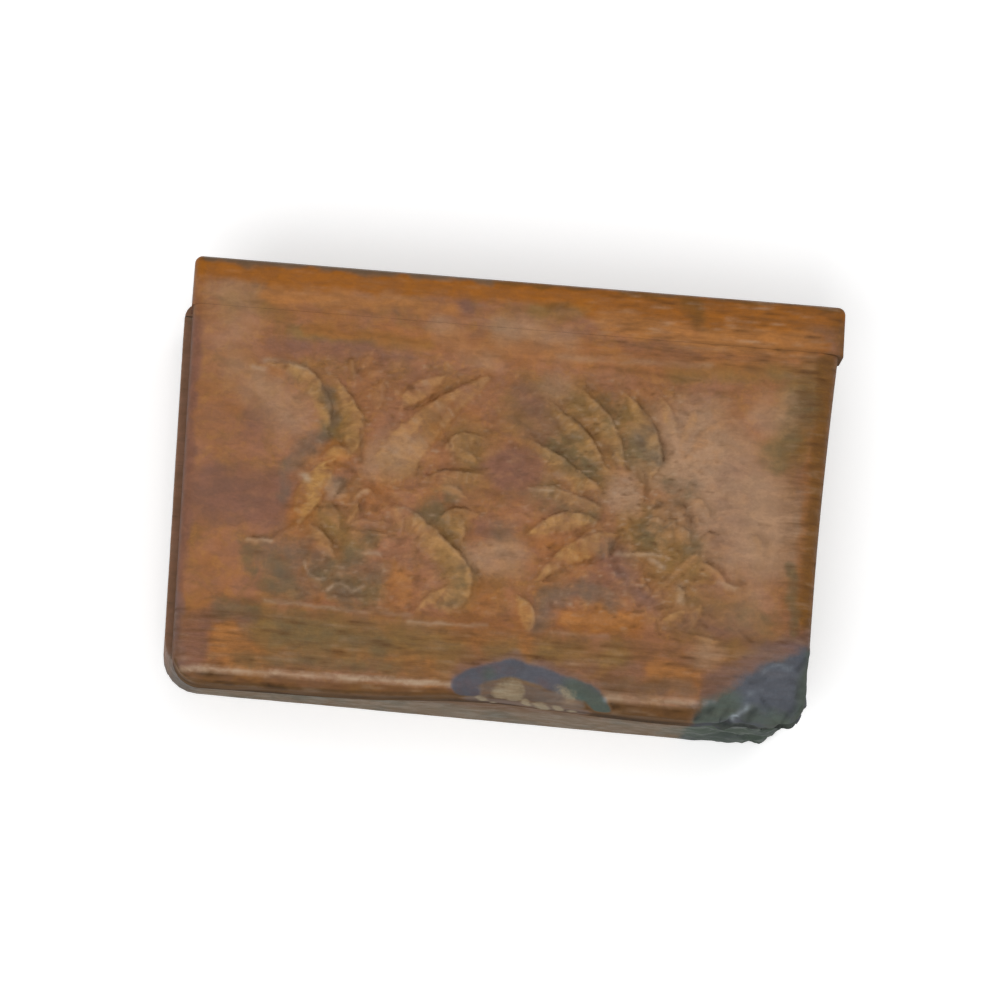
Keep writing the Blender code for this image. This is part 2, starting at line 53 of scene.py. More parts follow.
def palette(**entries):
    # turns colours as they look, 0 to 255, into the values that the shaders take; numbers stay
    def linear(value):
        share = value / 255
        return share / 12.92 if share <= 0.04045 else ((share + 0.055) / 1.055) ** 2.4

    return {name: (*map(linear, entry), 1.0) if isinstance(entry, tuple) else entry
            for name, entry in entries.items()}


def unit(value):
    return np.clip(value, 0, 1)


def ease(low, high, value):
    share = unit((value - low) / (high - low))
    return share * share * (3 - 2 * share)


def bumps(points, size, octaves=3, seed=0.0):
    # soft uneven values, about -1 to 1; size is the width of one bump
    return np.array([noise.fractal(Vector(place), 1.0, 2.0, octaves) for place in points / size + seed])


def smoothPath(path, steps=6):
    # a smooth line through a path, which is one row of x, y, x, y and so on
    points = np.array(path, dtype=float).reshape(-1, 2)
    if len(points) < 3:
        return points
    padded = np.vstack([2 * points[0] - points[1], points, 2 * points[-1] - points[-2]])
    line = []
    for a, b, c, d in zip(padded, padded[1:], padded[2:], padded[3:]):
        for t in np.arange(steps) / steps:
            line.append(0.5 * (2 * b + (c - a) * t + (2 * a - 5 * b + 4 * c - d) * t * t
                               + (3 * b - a - 3 * c + d) * t ** 3))
    return np.array(line + [points[-1]])


def alongPath(points, line):
    # for each point: distance to the line, share along it and way from it; then the line's length
    if len(line) == 1:
        line = np.repeat(line, 2, axis=0)
    start, step = line[:-1], line[1:] - line[:-1]
    lengths = np.maximum(np.hypot(*step.T), 1e-9)
    reach = np.concatenate([[0], np.cumsum(lengths)])
    gap = points[:, None, :] - start
    share = unit((gap * step).sum(2) / lengths ** 2)
    away = gap - share[..., None] * step
    far = np.hypot(away[..., 0], away[..., 1])
    rows, near = np.arange(len(points)), far.argmin(1)
    distance = far[rows, near]
    travel = (reach[near] + share[rows, near] * lengths[near]) / reach[-1]
    return distance, travel, away[rows, near] / np.maximum(distance, 1e-6)[:, None], reach[-1]


def closeTo(flat, path, margin):
    # which places lie near a path, its smooth line, and what alongPath says of those places
    line = smoothPath(path)
    chosen = np.nonzero((flat >= line.min(0) - margin).all(1) & (flat <= line.max(0) + margin).all(1))[0]
    return chosen, line, *alongPath(flat[chosen], line)


def read(mesh, key="co"):
    flat = np.empty(len(mesh.vertices) * 3)
    mesh.vertices.foreach_get(key, flat)
    return flat.reshape(-1, 3)


def readPoints(mesh):
    return read(mesh) / mm


def writePoints(mesh, points):
    mesh.vertices.foreach_set("co", (points * mm).ravel())
    mesh.update()


def readMask(mesh, name):
    values = np.empty(len(mesh.vertices), dtype=np.float32)
    mesh.attributes[name].data.foreach_get("value", values)
    return values


def addMask(mesh, name, values):
    layer = mesh.attributes.get(name) or mesh.attributes.new(name, "FLOAT", "POINT")
    layer.data.foreach_set("value", np.asarray(values, dtype=np.float32))


def placed(name, data):
    made = bpy.data.objects.new(name, data)
    scene.collection.objects.link(made)
    return made


def addPiece(name, mesh, body, replaced, material, sharp):
    mesh.shade_smooth()
    mesh.set_sharp_from_angle(angle=math.radians(sharp))
    mesh.materials.clear()
    mesh.materials.append(material)
    made = placed(name, mesh)
    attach(made, body)
    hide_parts(replaced)
    return made


def fromBmesh(bm, name):
    mesh = bpy.data.meshes.new(name)
    bm.to_mesh(mesh)
    bm.free()
    return mesh


def opened(mesh):
    # a mesh to work on, with its open edges
    bm = bmesh.new()
    bm.from_mesh(mesh)
    bpy.data.meshes.remove(mesh)
    return bm, [edge for edge in bm.edges if edge.is_boundary]


def extruded(bm, rim):
    # a new row of points along open edges: its edges and its points
    made = bmesh.ops.extrude_edge_only(bm, edges=rim)["geom"]
    rim = [item for item in made if isinstance(item, bmesh.types.BMEdge) and item.is_boundary]
    return rim, {vert for edge in rim for vert in edge.verts}


def closed(bm, rim, name):
    bmesh.ops.edgeloop_fill(bm, edges=rim)
    bmesh.ops.recalc_face_normals(bm, faces=bm.faces)
    return fromBmesh(bm, name)


def cutOut(mesh, *cutters):
    # the mesh without what the cutter meshes take away
    holder, *tools = (placed("cutting", item) for item in (mesh, *cutters))
    for tool in tools:
        step = holder.modifiers.new("cut", "BOOLEAN")
        step.operation, step.solver, step.object = "DIFFERENCE", "EXACT", tool
    graph = bpy.context.evaluated_depsgraph_get()
    done = bpy.data.meshes.new_from_object(holder.evaluated_get(graph))
    for made in (holder, *tools):
        bpy.data.objects.remove(made, do_unlink=True)
    return done


# ---- camera, floor and light

camera = {
    "target": (-0.00015, 0.0008, 0.013), "distance": 1.023,      # metres
    "azimuth": -14.8, "elevation": 76.4, "roll": 18.9,      # degrees; the azimuth is to the left
    "lens": 200.0, "sensor": 36.0, "near": 0.01,
}


def buildCamera():
    turn, lift, roll = (math.radians(camera[key]) for key in ("azimuth", "elevation", "roll"))
    back = Vector((math.sin(turn) * math.cos(lift), -math.cos(turn) * math.cos(lift), math.sin(lift)))
    right = Vector((math.cos(turn), math.sin(turn), 0))
    up = back.cross(right)
    across = right * math.cos(roll) + up * math.sin(roll)
    upward = up * math.cos(roll) - right * math.sin(roll)
    data = bpy.data.cameras.new("photoCamera")
    data.lens, data.sensor_width, data.clip_start = camera["lens"], camera["sensor"], camera["near"]
    columns = (across, upward, back, Vector(camera["target"]) + back * camera["distance"])
    scene.camera = placed("photoCamera", data)
    rows = [[column[axis] for column in columns] for axis in range(3)]
    scene.camera.matrix_world = Matrix([*rows, [0, 0, 0, 1]])


stage = {
    "floorSize": 6.0, "floorColour": 0.93, "floorRough": 0.9, "floorLift": 0.30, "worldLevel": 0.42,
    # name, place, width, length, power
    "lamps": (
        ("frontSoftbox", (-0.34, -0.70, 1.10), 1.1, 0.8, 9.4),
        ("topSoftbox", (0.30, 0.35, 1.40), 0.9, 0.9, 3.6),
        ("backFill", (0.9, 0.9, 0.8), 0.9, 0.9, 1.2),
    ),
}


def sightOf(tree):
    # 1 where the camera sees a surface directly, mirrored or through glass
    rays = tree.nodes.new("ShaderNodeLightPath")
    seenBy = rays.outputs["Is Camera Ray"]
    for name in ("Is Glossy Ray", "Is Transmission Ray"):
        either = tree.nodes.new("ShaderNodeMath")
        either.operation = "MAXIMUM"
        tree.links.new(seenBy, either.inputs[0])
        tree.links.new(rays.outputs[name], either.inputs[1])
        seenBy = either.outputs[0]
    return seenBy


def buildStage():
    bm = bmesh.new()
    bmesh.ops.create_grid(bm, x_segments=1, y_segments=1, size=stage["floorSize"] / 2)
    mesh = fromBmesh(bm, "floor")
    look = bpy.data.materials.new("paleFloor")
    look.use_nodes = True
    tree = look.node_tree
    shader = tree.nodes["Principled BSDF"]
    shader.inputs["Base Color"].default_value = (*[stage["floorColour"]] * 3, 1)
    shader.inputs["Roughness"].default_value = stage["floorRough"]
    shader.inputs["Emission Color"].default_value = (1, 1, 1, 1)
    lift = tree.nodes.new("ShaderNodeMath")
    lift.operation = "MULTIPLY"
    lift.inputs[1].default_value = stage["floorLift"]
    tree.links.new(sightOf(tree), lift.inputs[0])
    tree.links.new(lift.outputs[0], shader.inputs["Emission Strength"])
    mesh.materials.append(look)
    floor = placed("floor", mesh)
    for name, place, width, length, power in stage["lamps"]:
        data = bpy.data.lights.new(name, "AREA")
        data.shape, data.size, data.size_y, data.energy = "RECTANGLE", width, length, power
        lamp = placed(name, data)
        lamp.location = place
        lamp.rotation_euler = Vector(place).to_track_quat("Z", "Y").to_euler()
    world = scene.world = bpy.data.worlds.new("studio")
    world.use_nodes = True
    tree = world.node_tree
    sky = tree.nodes["Background"]
    sky.inputs["Color"].default_value = (1, 1, 1, 1)
    strength = tree.nodes.new("ShaderNodeMapRange")
    strength.inputs["To Min"].default_value = stage["worldLevel"]
    strength.inputs["To Max"].default_value = 1.0
    tree.links.new(sightOf(tree), strength.inputs["Value"])
    tree.links.new(strength.outputs["Result"], sky.inputs["Strength"])


# ---- painted patches on the lid seen from above: radius, strength, then the path

patches = {
    "warm": [
        (2.8, 0.74, -24, 26.9, -8, 26.2, 10, 26, 28, 26.2, 44, 26.8),
        (2.9, 1.3, -48.8, -31.6, -46.4, -34.6, -43.6, -35.6), (2.5, 1, 12.5, -23.4, 24, -23.1),
        (2.3, 0.8, 28.5, -31, 36, -32.4), (2, 0.85, 4.4, -23.3, 5.4, -29.3),
        (1.5, 0.95, 55.4, 8, 55.2, -8, 54.8, -22), (3, 0.48, -50.4, -13.8, -49, -21.8),
        (3, 0.45, -53.5, -18.8, -56.4, -29.8), (1.2, 0.8, -38, 26.7, -17, 26.1), (2.8, 0.85, -31.4, 3.6),
        (3.4, 0.75, -23, -3), (4.4, 0.62, -18, -20.8), (4.8, 0.6, -4, -20.3),
        (3, 0.55, -45, 31.7, -30, 28.2), (3.8, 0.7, 18, 34.2, 52, 33.2), (2.4, 0.5, -14, 15.2, -7, 13.8),
        (2.6, 0.95, -34.6, -2.4, -36.8, -8.4), (2.4, 0.6, -8, -27.8, 4, -26.8),
        (2.2, 0.55, -28, -32.8, -12, -33.8), (3, 0.62, 6, -8.8, 14, -11.8), (3, 0.6, 40, 29.2, 56, 28.2),
        (2.2, 0.55, -14, 8.6), (2, 0.6, -44, 18.2),],
    "glow": [
        (2.3, 1.2, -48.8, -31.4, -47, -33.6, -43.6, -35.8), (1.7, 0.85, 12.5, -23.4, 22, -23.2),
        (1.6, 0.8, 28.5, -31, 34, -32.2), (1.9, 0.75, -31.4, 3.4), (2, 0.6, -18, -16.8, -17.6, -21.8),
        (2, 0.72, -46, 32.8, -12, 32.6), (2.4, 0.75, 16, 32.8, 34, 31, 54, 31.8),],
    "mauve": [
        (2, 0.85, 40.6, -33, 44.4, -30, 48.4, -27, 52.6, -25, 56.4, -23.4),
        (1.3, 0.72, -7.6, -37.2, -4.4, -34.2, -1, -32.8, 3.6, -31.7, 8, -32.5, 13, -33.8, 18, -35.2),
        (1.3, 0.75, -58, -24, -57.6, -32, -56.8, -37), (2, 0.55, 22, -14.4, 28, -18.6),
        (1.6, 0.7, 39, -35.4),],
    # dark brown: painted shade along the lid's right rounded edge and side and along the rail's back edge,
    # and a few dark brown patches
    "umber": [
        (1.7, 1, 57.4, 28, 57, 10, 56.6, -3, 56.3, -20), (4.6, 0.8, 63, 34, 62.4, 10, 61, -22),
        (0.9, 0.9, -58, 39, 59.5, 39), (1.6, 0.7, 53.6, 12, 54.4, 22), (1.7, 0.8, 31, 37.8, 33, 34),
        (1.2, 0.8, 6.4, 34.4, 8.6, 35),],
    "amber": [
        (2.9, 1.05, -57, 37.8, 58.5, 37.8), (5, 0.8, -58, 43.5, 60, 43.5), (1.6, 0.8, -46, 35.4, -20, 35.6),
        (2.4, 0.85, 14, 35.2, 52, 34.6), (1.6, 0.8, 40, 31.6, 56, 31.2),],
    "plum": [
        (1.5, 0.95, -58.6, 26, -58.2, -4, -57.8, -32), (4.6, 0.8, -62.6, 27, -62.2, -4, -61.6, -33),
        (4.9, 1, 0.8, 3.8), (5.6, 0.9, -54.5, -4.8, -43.5, -5.8), (3.8, 0.65, -46.4, 8.6),
        (1.6, 0.95, -15.4, 32.7, -9.6, 33.4), (2.8, 0.75, 31, 33.8, 31.6, 37.6), (1.9, 0.7, 7.6, 35),
        (2.2, 0.6, -44, 23.2, -20, 23.6), (4.2, 0.65, 3.2, 16.6, 6, 12.2), (2.6, 0.8, 39.6, -34.4),
        (2.2, 0.9, 53.6, -24.6), (2.4, 0.9, -54, -28.8, -54.6, -36.3),
        (2.2, 0.75, -50.4, -27.2, -46, -27.6), (4.2, 0.75, 20.6, -12.2), (1.8, 0.65, -8.2, 27.2),
        (2.4, 0.6, 21, 27.6, 33, 27.2), (4.4, 0.4, 40, -7.8, 41, 6.2), (2.8, 0.6, 46, -29.4),
        (2.8, 0.7, -3.4, -7.6), (1.8, 0.6, 8, -32.8, 18, -31.8), (3.4, 0.65, 36, -21.8, 46, -23.8),
        (2.4, 0.7, 14, -17.8, 20, -15.8), (3.2, 0.5, -24, -15.8), (1.8, 0.5, 28, -30.8, 22, -32.8),],
    # pale patches: painted sheen, the soft reflection on the right half and in the cove's corner, and pale
    # bloom of the lacquer
    "haze": [
        (9.6, 1, 34, 9.2, 46, -3.8), (3.9, 0.62, 46.5, 17, 51, 18.2), (2, 0.3, -44, 33.8, -20, 33.2),
        (3.6, 0.64, -3, 28.6, 9, 27.6), (5.4, 0.44, -51, 19.4, -52, 32.2), (3.6, 1, 21.4, 0.6),
        (3, 0.8, 38, -28.2), (3.2, 0.65, -5, -13.4, 2, -12.2), (4.6, 0.6, -46, 15.2, -40, 10.2),
        (3.8, 0.7, -19, 6.2, -23, 3.2), (4, 0.5, 47, -7.8, 46, -19.8), (5, 0.6, 33, 15.2),
        (2.4, 0.6, -14, 28.8, -4, 23.6), (1.4, 0.9, -31, -3), (3.4, 0.5, 8, 19.2),],
    "olive": [
        (5.5, 0.95, 5, 15, 14, 6), (4, 0.9, 22, 15, 26, 6), (4, 0.85, 12, 17, 18, 12),
        (5.5, 0.9, 26, -7, 33, -11), (5.5, 0.75, 36, -20, 46, -26), (2.6, 0.85, -34, 15, -30, 7),
        (3.2, 0.85, -10, -9, -7, -20), (4.5, 0.9, -42, -30, -10, -31), (2.8, 0.75, 0, -30.5, 22, -30.5),
        (3.6, 0.9, 50, 10, 54.5, 26), (3, 0.7, -8, 9, -6, 2), (1.4, 0.9, -40, 25.8, -16, 25.4),
        (2, 0.85, 30, 24, 50, 26), (3, 0.75, -33, -8, -28, -13), (2, 0.8, 12, 35, 4, 33.4),
        (2.2, 0.85, 36, 32, 50, 31.4), (2.4, 0.6, -52, 31, -44, 30),],
    "moss": [
        (1.5, 0.62, -46, -35.3, -34, -35, -18, -35.2), (2.5, 0.72, -45.2, -15),
        (2.5, 0.78, -40.2, -16.8, -38.4, -19.6), (1.9, 0.7, -42, -21.4, -36, -22.6),
        (1.8, 0.7, -44.6, -18.6), (3.2, 0.8, -31, -18.4, -24, -21.4), (2.8, 0.95, -13.4, -5.8),
        (3, 0.8, 22, 9, 26, 10), (3.2, 0.8, 26.8, -6.2), (3, 0.8, 9, 7.8, 15, 5),
        (2.6, 0.65, 6, -0.8, 15, -3), (1.3, 0.85, 53, -10.8, 53.6, -22.4),
        (2, 0.7, -6.4, -15.8, -8.4, -21.8), (2.2, 0.6, -39, 18.6), (1.8, 0.9, -33.4, 8.2),
        (2.6, 0.6, 34.4, -8.4), (2.6, 0.6, -24, -11.4, -27, -14.8), (2.2, 0.6, 18.6, 13.2, 17.6, 17.2),
        (3, 0.5, 44, -19.8, 48, -20.8), (2, 0.7, -50.6, -26.2, -45, -26.8),
        (3.4, 0.6, -39, -29.8, -22, -30.8), (2.3, 1.1, -4, -38.2, 3, -36.8, 10, -37.8, 15, -39),
        (2.6, 0.55, 49, 9.2, 54, 20.2), (2, 0.7, -9.6, -1.4), (2.4, 0.55, 30, 3.2, 34, 1.2),
        (2.6, 0.4, -22, 31.2),],
    "smoke": [
        (3.2, 0.62, -41.4, -14.4, -38.8, -18.8), (2.4, 0.6, -32.4, -16.4, -34.6, -20.2),
        (1.1, 1, -57, 38.8, -6, 38.6), (1.6, 0.75, 20, -35.6, 28, -35, 35, -34.6),
        (1.9, 0.85, 7.7, -25, 8.2, -21.4, 10.4, -18.6, 14, -17.7, 17.5, -18.2, 20.4, -19.4),
        (2, 0.8, -34.8, 6.4, -37.2, 3.6, -39.6, 1.2), (1.4, 0.65, -40.6, -0.8, -40.4, -5.2),
        (1.5, 0.8, -30.6, -1.4), (1.2, 0.75, -34.2, 15.8, -32, 10.8), (2.6, 0.7, -0.4, -8.6),
        (1.7, 0.75, 18.6, -9.6), (1.9, 0.8, 25, 11.6, 26.6, 8.4), (2, 0.6, -37, -17.8, -36, -13.4),
        (2.6, 0.6, 27.6, -3.2, 33, -4.4), (1.8, 0.5, 34.8, 3.6), (2.8, 0.6, -28.4, -21.4),
        (2, 0.75, -38.4, -14.6, -33.6, -15.6), (2.4, 0.6, -22, -17.6, -28, -16.8),],
    "slate": [
        (1.55, 1.15, -6, -36.9, -3.2, -35.3, 0, -34, 3.6, -33.2, 7.4, -34.1, 11.4, -35.2, 15.4, -36.2,
         18.2, -37.4, 20, -39.6), (1.1, 0.8, -5.4, -38.2, -3, -38),],
    "ash": [
        (1.9, 1, -3.4, -38.4, 4, -37.6, 15, -39), (2.4, 1, -3, -41.6, 15.6, -43),],
    "green": [
        (2.6, 1, 15, -36.2, 20, -39.6), (3.4, 1.1, 37, -40, 41.4, -37), (4, 0.9, 44, -46, 56, -44),
        (2.2, 0.8, 47, -38.8, 53, -39.6), (1.6, 0.6, -1, -34.6), (2, 0.9, 56.4, -38, 58, -27),],
    "cream": [
        (1.6, 1.05, 1.6, -38, 3.6, -37, 3.9, -38.8), (0.9, 0.95, -2.2, -39.6, -1.4, -42),
        (0.85, 0.95, 5.8, -39.2, 6.4, -42.6), (1.3, 1, 8.6, -40.4, 9.4, -44.2),
        (0.9, 1, 11.6, -40.8, 12.2, -43.4), (1.1, 0.48, 11.6, -36.4, 13, -36.9, 14.4, -37.7),
        (0.9, 0.9, 14.6, -43.6), (0.8, 0.8, 0.4, -43.4),],
}
crisp = ("slate", "ash", "green", "cream")      # their edges stay close to the drawn ones

# the worn blue-grey corner: its edge, and the middle of its lumps
knot = {
    "edge": (35.6, -45.8, 36.4, -39.8, 37.4, -37.8, 39.6, -36.2, 42.2, -34.1, 45.2, -31.4, 49, -28.8,
             52.4, -27.2, 56, -25.4, 62, -24.2),
    "middle": (57.5, -30.3, 55, -34.8, 50.5, -37.0, 44, -40.2),
    "radius": 6.6, "slope": 0.18, "lumps": 0.95, "bruises": 0.20, "chips": 2.0,
    "inward": -1.8, "outward": 0.55,      # as far as the wear may move a point
}
edgeLine = 25.2      # below this height a place is painted as if the side were folded up level


def warped(flat, wide=1.0):
    # shifts places a little, so that painted and carved edges come out uneven
    spots = np.pad(flat, ((0, 0), (0, 1)))
    shift = [bumps(spots, 5.0, 2, seed) * 1.1 + bumps(spots, 1.7, 2, seed + 5) * 0.35
             for seed in (21.0, 33.0)]
    return flat + np.stack(shift, 1) * wide


def unfolded(points, normals):
    # places seen from above, with the sides folded up level
    way = normals[:, :2] / np.maximum(np.hypot(*normals[:, :2].T), 0.3)[:, None]
    return points[:, :2] + way * np.maximum(edgeLine - points[:, 2], 0)[:, None]


def inKnot(flat):
    # 0.5 on the edge of the worn corner, 1 inside, 0 outside
    line = smoothPath(knot["edge"])
    distance, travel, way, length = alongPath(flat, line)
    step = np.gradient(line, axis=0)[(travel * (len(line) - 1)).round().astype(int)]
    side = step[:, 0] * way[:, 1] - step[:, 1] * way[:, 0]
    return unit(0.5 - np.sign(side) * distance * knot["slope"])


def knotField(points):
    # the corner's stain; down the right side its edge grows softer and wanders forward
    flat = warped(points[:, :2], 0.5)
    down = ease(edgeLine, 19.0, points[:, 2]) * ease(50.0, 54.0, points[:, 0])
    flat[:, 1] += (0.22 * (edgeLine - points[:, 2]) + 7.0 * bumps(points, 6.0, 3, 41.0)) * down
    return (0.5 + (inKnot(flat) - 0.5) * (1 - 0.45 * down)) * 1.1


def patchField(flat, name):
    # how strongly each place belongs to a family of patches: 0.5 on a patch's edge
    field = np.zeros(len(flat))
    for radius, strength, *path in patches[name]:
        chosen, line, distance, *more = closeTo(flat, path, radius * 1.8)
        value = strength * unit(1.0 - 0.5 * (distance / radius) ** 1.6)
        field[chosen] = np.maximum(field[chosen], value)
    return field


def paintPatches(mesh):
    points = readPoints(mesh)
    flat = unfolded(points, read(mesh, "normal"))
    loose, tight = warped(flat), warped(flat, 0.25)
    for name in patches:
        field = patchField(tight if name in crisp else loose, name)
        addMask(mesh, name, np.maximum(field, knotField(points)) if name == "slate" else field)


# ---- node groups and materials

class Desk:
    # adds and joins shader nodes in one tree
    def __init__(self, tree):
        self.tree = tree

    def add(self, kind, inputs=None, **settings):
        node = self.tree.nodes.new(kind)
        for key, value in settings.items():
            setattr(node, key, value)
        for key, value in (inputs or {}).items():
            self.feed(node.inputs[key], value)
        return node

    def feed(self, socket, value):
        if isinstance(value, bpy.types.NodeSocket):
            self.tree.links.new(value, socket)
        else:
            socket.default_value = value

    def math(self, operation, first, second, clamp=False):
        node = self.add("ShaderNodeMath", {0: first, 1: second}, operation=operation, use_clamp=clamp)
        return node.outputs[0]

    def times(self, first, second, clamp=False):
        return self.math("MULTIPLY", first, second, clamp)

    def plus(self, first, second, clamp=False):
        return self.math("ADD", first, second, clamp)

    def without(self, value):
        return self.math("SUBTRACT", 1.0, value)

    def between(self, value, low, high, toLow=0.0, toHigh=1.0):
        node = self.add("ShaderNodeMapRange", {
            "Value": value, "From Min": low, "From Max": high, "To Min": toLow, "To Max": toHigh},
            interpolation_type="SMOOTHSTEP")
        return node.outputs["Result"]

    def noise(self, place, scale, detail, rough, twist=0.0):
        node = self.add("ShaderNodeTexNoise", {
            "Vector": place, "Scale": scale, "Detail": detail, "Roughness": rough, "Distortion": twist})
        return node.outputs["Fac"]

    def stretch(self, place, scale, move=(0, 0, 0)):
        node = self.add("ShaderNodeMapping", {"Vector": place, "Scale": scale, "Location": move})
        return node.outputs["Vector"]

    def mix(self, share, first, second, blend="MIX"):
        # the mixing node has sockets of one name for each kind; 6 and 7 are its colours
        node = self.add("ShaderNodeMix", {"Factor": share, 6: first, 7: second},
                        data_type="RGBA", blend_type=blend, clamp_result=False)
        return node.outputs[2]

    def lay(self, colour, share, tone, most=1.0):
        return self.mix(self.times(share, most), colour, tone)

    def mask(self, name):
        node = self.add("ShaderNodeAttribute", attribute_name=name, attribute_type="GEOMETRY")
        return node.outputs["Fac"]

    def use(self, name, **values):
        return self.add("ShaderNodeGroup", values, node_tree=groups[name]).outputs

    def patch(self, name, place, scale, broken, soft):
        field = self.mask(name)
        return self.use("patchEdge", Field=field, Place=place, Scale=scale, Break=broken, Soft=soft)[0]

    def dress(self, colour, rough, height, strength, others=None, depth=0.0002):
        # gives the shader its colour, its roughness, a fine relief and what others names
        bump = self.add("ShaderNodeBump", {"Height": height, "Strength": strength, "Distance": depth})
        inputs = {"Base Color": colour, "Roughness": rough, "Normal": bump.outputs["Normal"]}
        for name, value in {**inputs, **(others or {})}.items():
            self.feed(self.tree.nodes["Principled BSDF"].inputs[name], value)


def newGroup(name, inputs, outputs):
    # an input without a value takes a place, the others a number
    tree = bpy.data.node_groups.new(name, "ShaderNodeTree")
    for label, value in inputs.items():
        kind = "NodeSocketVector" if value is None else "NodeSocketFloat"
        socket = tree.interface.new_socket(label, in_out="INPUT", socket_type=kind)
        if value is not None:
            socket.default_value = value
    for label in outputs:
        tree.interface.new_socket(label, in_out="OUTPUT", socket_type="NodeSocketFloat")
    desk = Desk(tree)
    return desk, desk.add("NodeGroupInput").outputs, desk.add("NodeGroupOutput").inputs


def makePatchEdge():
    # turns a patch's soft field into a mask with an uneven edge
    desk, given, out = newGroup(
        "patchEdge", {"Field": 0.0, "Place": None, "Scale": 300.0, "Break": 0.4, "Soft": 0.2}, ["Mask"])
    uneven = desk.noise(given["Place"], given["Scale"], 4.0, 0.6, 0.3)
    value = desk.plus(given["Field"], desk.times(desk.math("SUBTRACT", uneven, 0.5), given["Break"]))
    low, high = desk.math("SUBTRACT", 0.5, given["Soft"]), desk.plus(0.5, given["Soft"])
    desk.feed(out["Mask"], desk.between(value, low, high))
    return desk.tree


def makeWoodGrain():
    # long grain lines, short pores and slow figure, along X
    desk, given, out = newGroup(
        "woodGrain", {"Place": None, "Lines": 1400.0, "Along": 0.045}, ["Lines", "Pores", "Figure"])
    place, scale = given["Place"], given["Lines"]
    squeeze = desk.add("ShaderNodeCombineXYZ", {"X": given["Along"], "Y": 1.0, "Z": 1.0}).outputs[0]
    drawn = desk.add("ShaderNodeVectorMath", {0: place, 1: squeeze}, operation="MULTIPLY").outputs[0]
    fine = desk.noise(drawn, scale, 5.0, 0.62, 0.15)
    broad = desk.noise(drawn, desk.times(scale, 0.28), 3.0, 0.5, 0.4)
    lines = desk.plus(desk.times(fine, 0.6), desk.times(broad, 0.4))
    desk.feed(out["Lines"], desk.between(lines, 0.34, 0.66))
    short = desk.stretch(place, (0.12, 1.0, 1.0), (0.013, 0.004, 0.002))
    desk.feed(out["Pores"], desk.between(desk.noise(short, desk.times(scale, 1.6), 2.0, 0.5), 0.61, 0.74))
    figure = desk.noise(desk.stretch(place, (0.35, 1.0, 1.0)), 110.0, 4.0, 0.6, 1.2)
    desk.feed(out["Figure"], desk.between(figure, 0.3, 0.7))
    return desk.tree


def makeMottle():
    # cloudy lacquer: wide clouds, small flecks and specks
    desk, given, out = newGroup("mottle", {"Place": None, "Scale": 1.0}, ["Clouds", "Flecks", "Specks"])
    drawn = desk.stretch(given["Place"], (0.55, 1.0, 1.0))
    for name, place, scale, detail, rough, twist, low in (
            ("Clouds", given["Place"], 95.0, 5.0, 0.62, 0.8, 0.32),
            ("Flecks", drawn, 430.0, 4.0, 0.6, 0.4, 0.34),
            ("Specks", given["Place"], 1500.0, 2.0, 0.6, 0.0, 0.30)):
        value = desk.noise(place, desk.times(given["Scale"], scale), detail, rough, twist)
        desk.feed(out[name], desk.between(value, low, 1 - low))
    return desk.tree


groups = {"patchEdge": makePatchEdge(), "woodGrain": makeWoodGrain(), "mottle": makeMottle()}


def newMaterial(name):
    look = bpy.data.materials.new(name)
    look.use_nodes = True
    desk = Desk(look.node_tree)
    return look, desk, desk.add("ShaderNodeTexCoord").outputs["Object"]


def newWood(name, lines, along, clouds):
    # a material with the outputs of its grain and its mottle
    look, desk, place = newMaterial(name)
    grain = desk.use("woodGrain", Place=place, Lines=lines, Along=along)
    return look, desk, place, grain, desk.use("mottle", Place=place, Scale=clouds)


# besides the lacquer's own colours, this holds the tones of painted shade on the sides and foot, of wear and
# painted highlights on crests, and of pale bloom and painted sheen
lacquer = palette(
    base=(147, 96, 56), second=(152, 103, 75), sage=(122, 90, 40), dark=(100, 66, 32), tan=(165, 114, 58),
    olive=(124, 96, 50), haze=(166, 132, 103), plum=(120, 82, 68), warm=(154, 95, 40), amber=(151, 88, 12),
    glow=(168, 110, 56), umber=(108, 71, 20), mauve=(112, 88, 82), moss=(99, 86, 58), smoke=(100, 88, 74),
    ash=(101, 89, 82), slate=(84, 78, 84), slateBlue=(76, 86, 96), slateGreen=(73, 86, 80),
    cream=(144, 130, 106), leaf=(167, 120, 79), gold=(186, 144, 82), cut=(82, 52, 24), crest=(172, 146, 120),
    side=(76, 54, 26), foot=(44, 32, 20), shadePlum=(92, 66, 56), paleSlate=(146, 154, 160),
    blackSlate=(38, 40, 40), rough=0.36, shine=0.15)

# the painted layers from the ground up: noise scale, how broken and how soft the edge is, and share
layers = {
    "olive": (220.0, 0.8, 0.5, 0.8), "haze": (160.0, 0.6, 0.45, 0.85), "plum": (260.0, 0.6, 0.34, 0.78),
    "warm": (260.0, 0.6, 0.38, 0.62), "amber": (260.0, 0.6, 0.34, 0.92), "glow": (260.0, 0.5, 0.3, 0.85),
    "umber": (260.0, 0.5, 0.4, 0.8), "mauve": (240.0, 0.5, 0.45, 0.85), "moss": (330.0, 1.1, 0.42, 0.78),
    "smoke": (300.0, 0.9, 0.42, 0.62), "ash": (420.0, 0.5, 0.25, 0.85), "green": (240.0, 0.8, 0.4, 1.0),
    "slate": (330.0, 0.6, 0.27, 0.96), "cream": (700.0, 0.9, 0.32, 1.0),
}
underLeaves = 9      # so many of the layers lie under the tone of the leaves


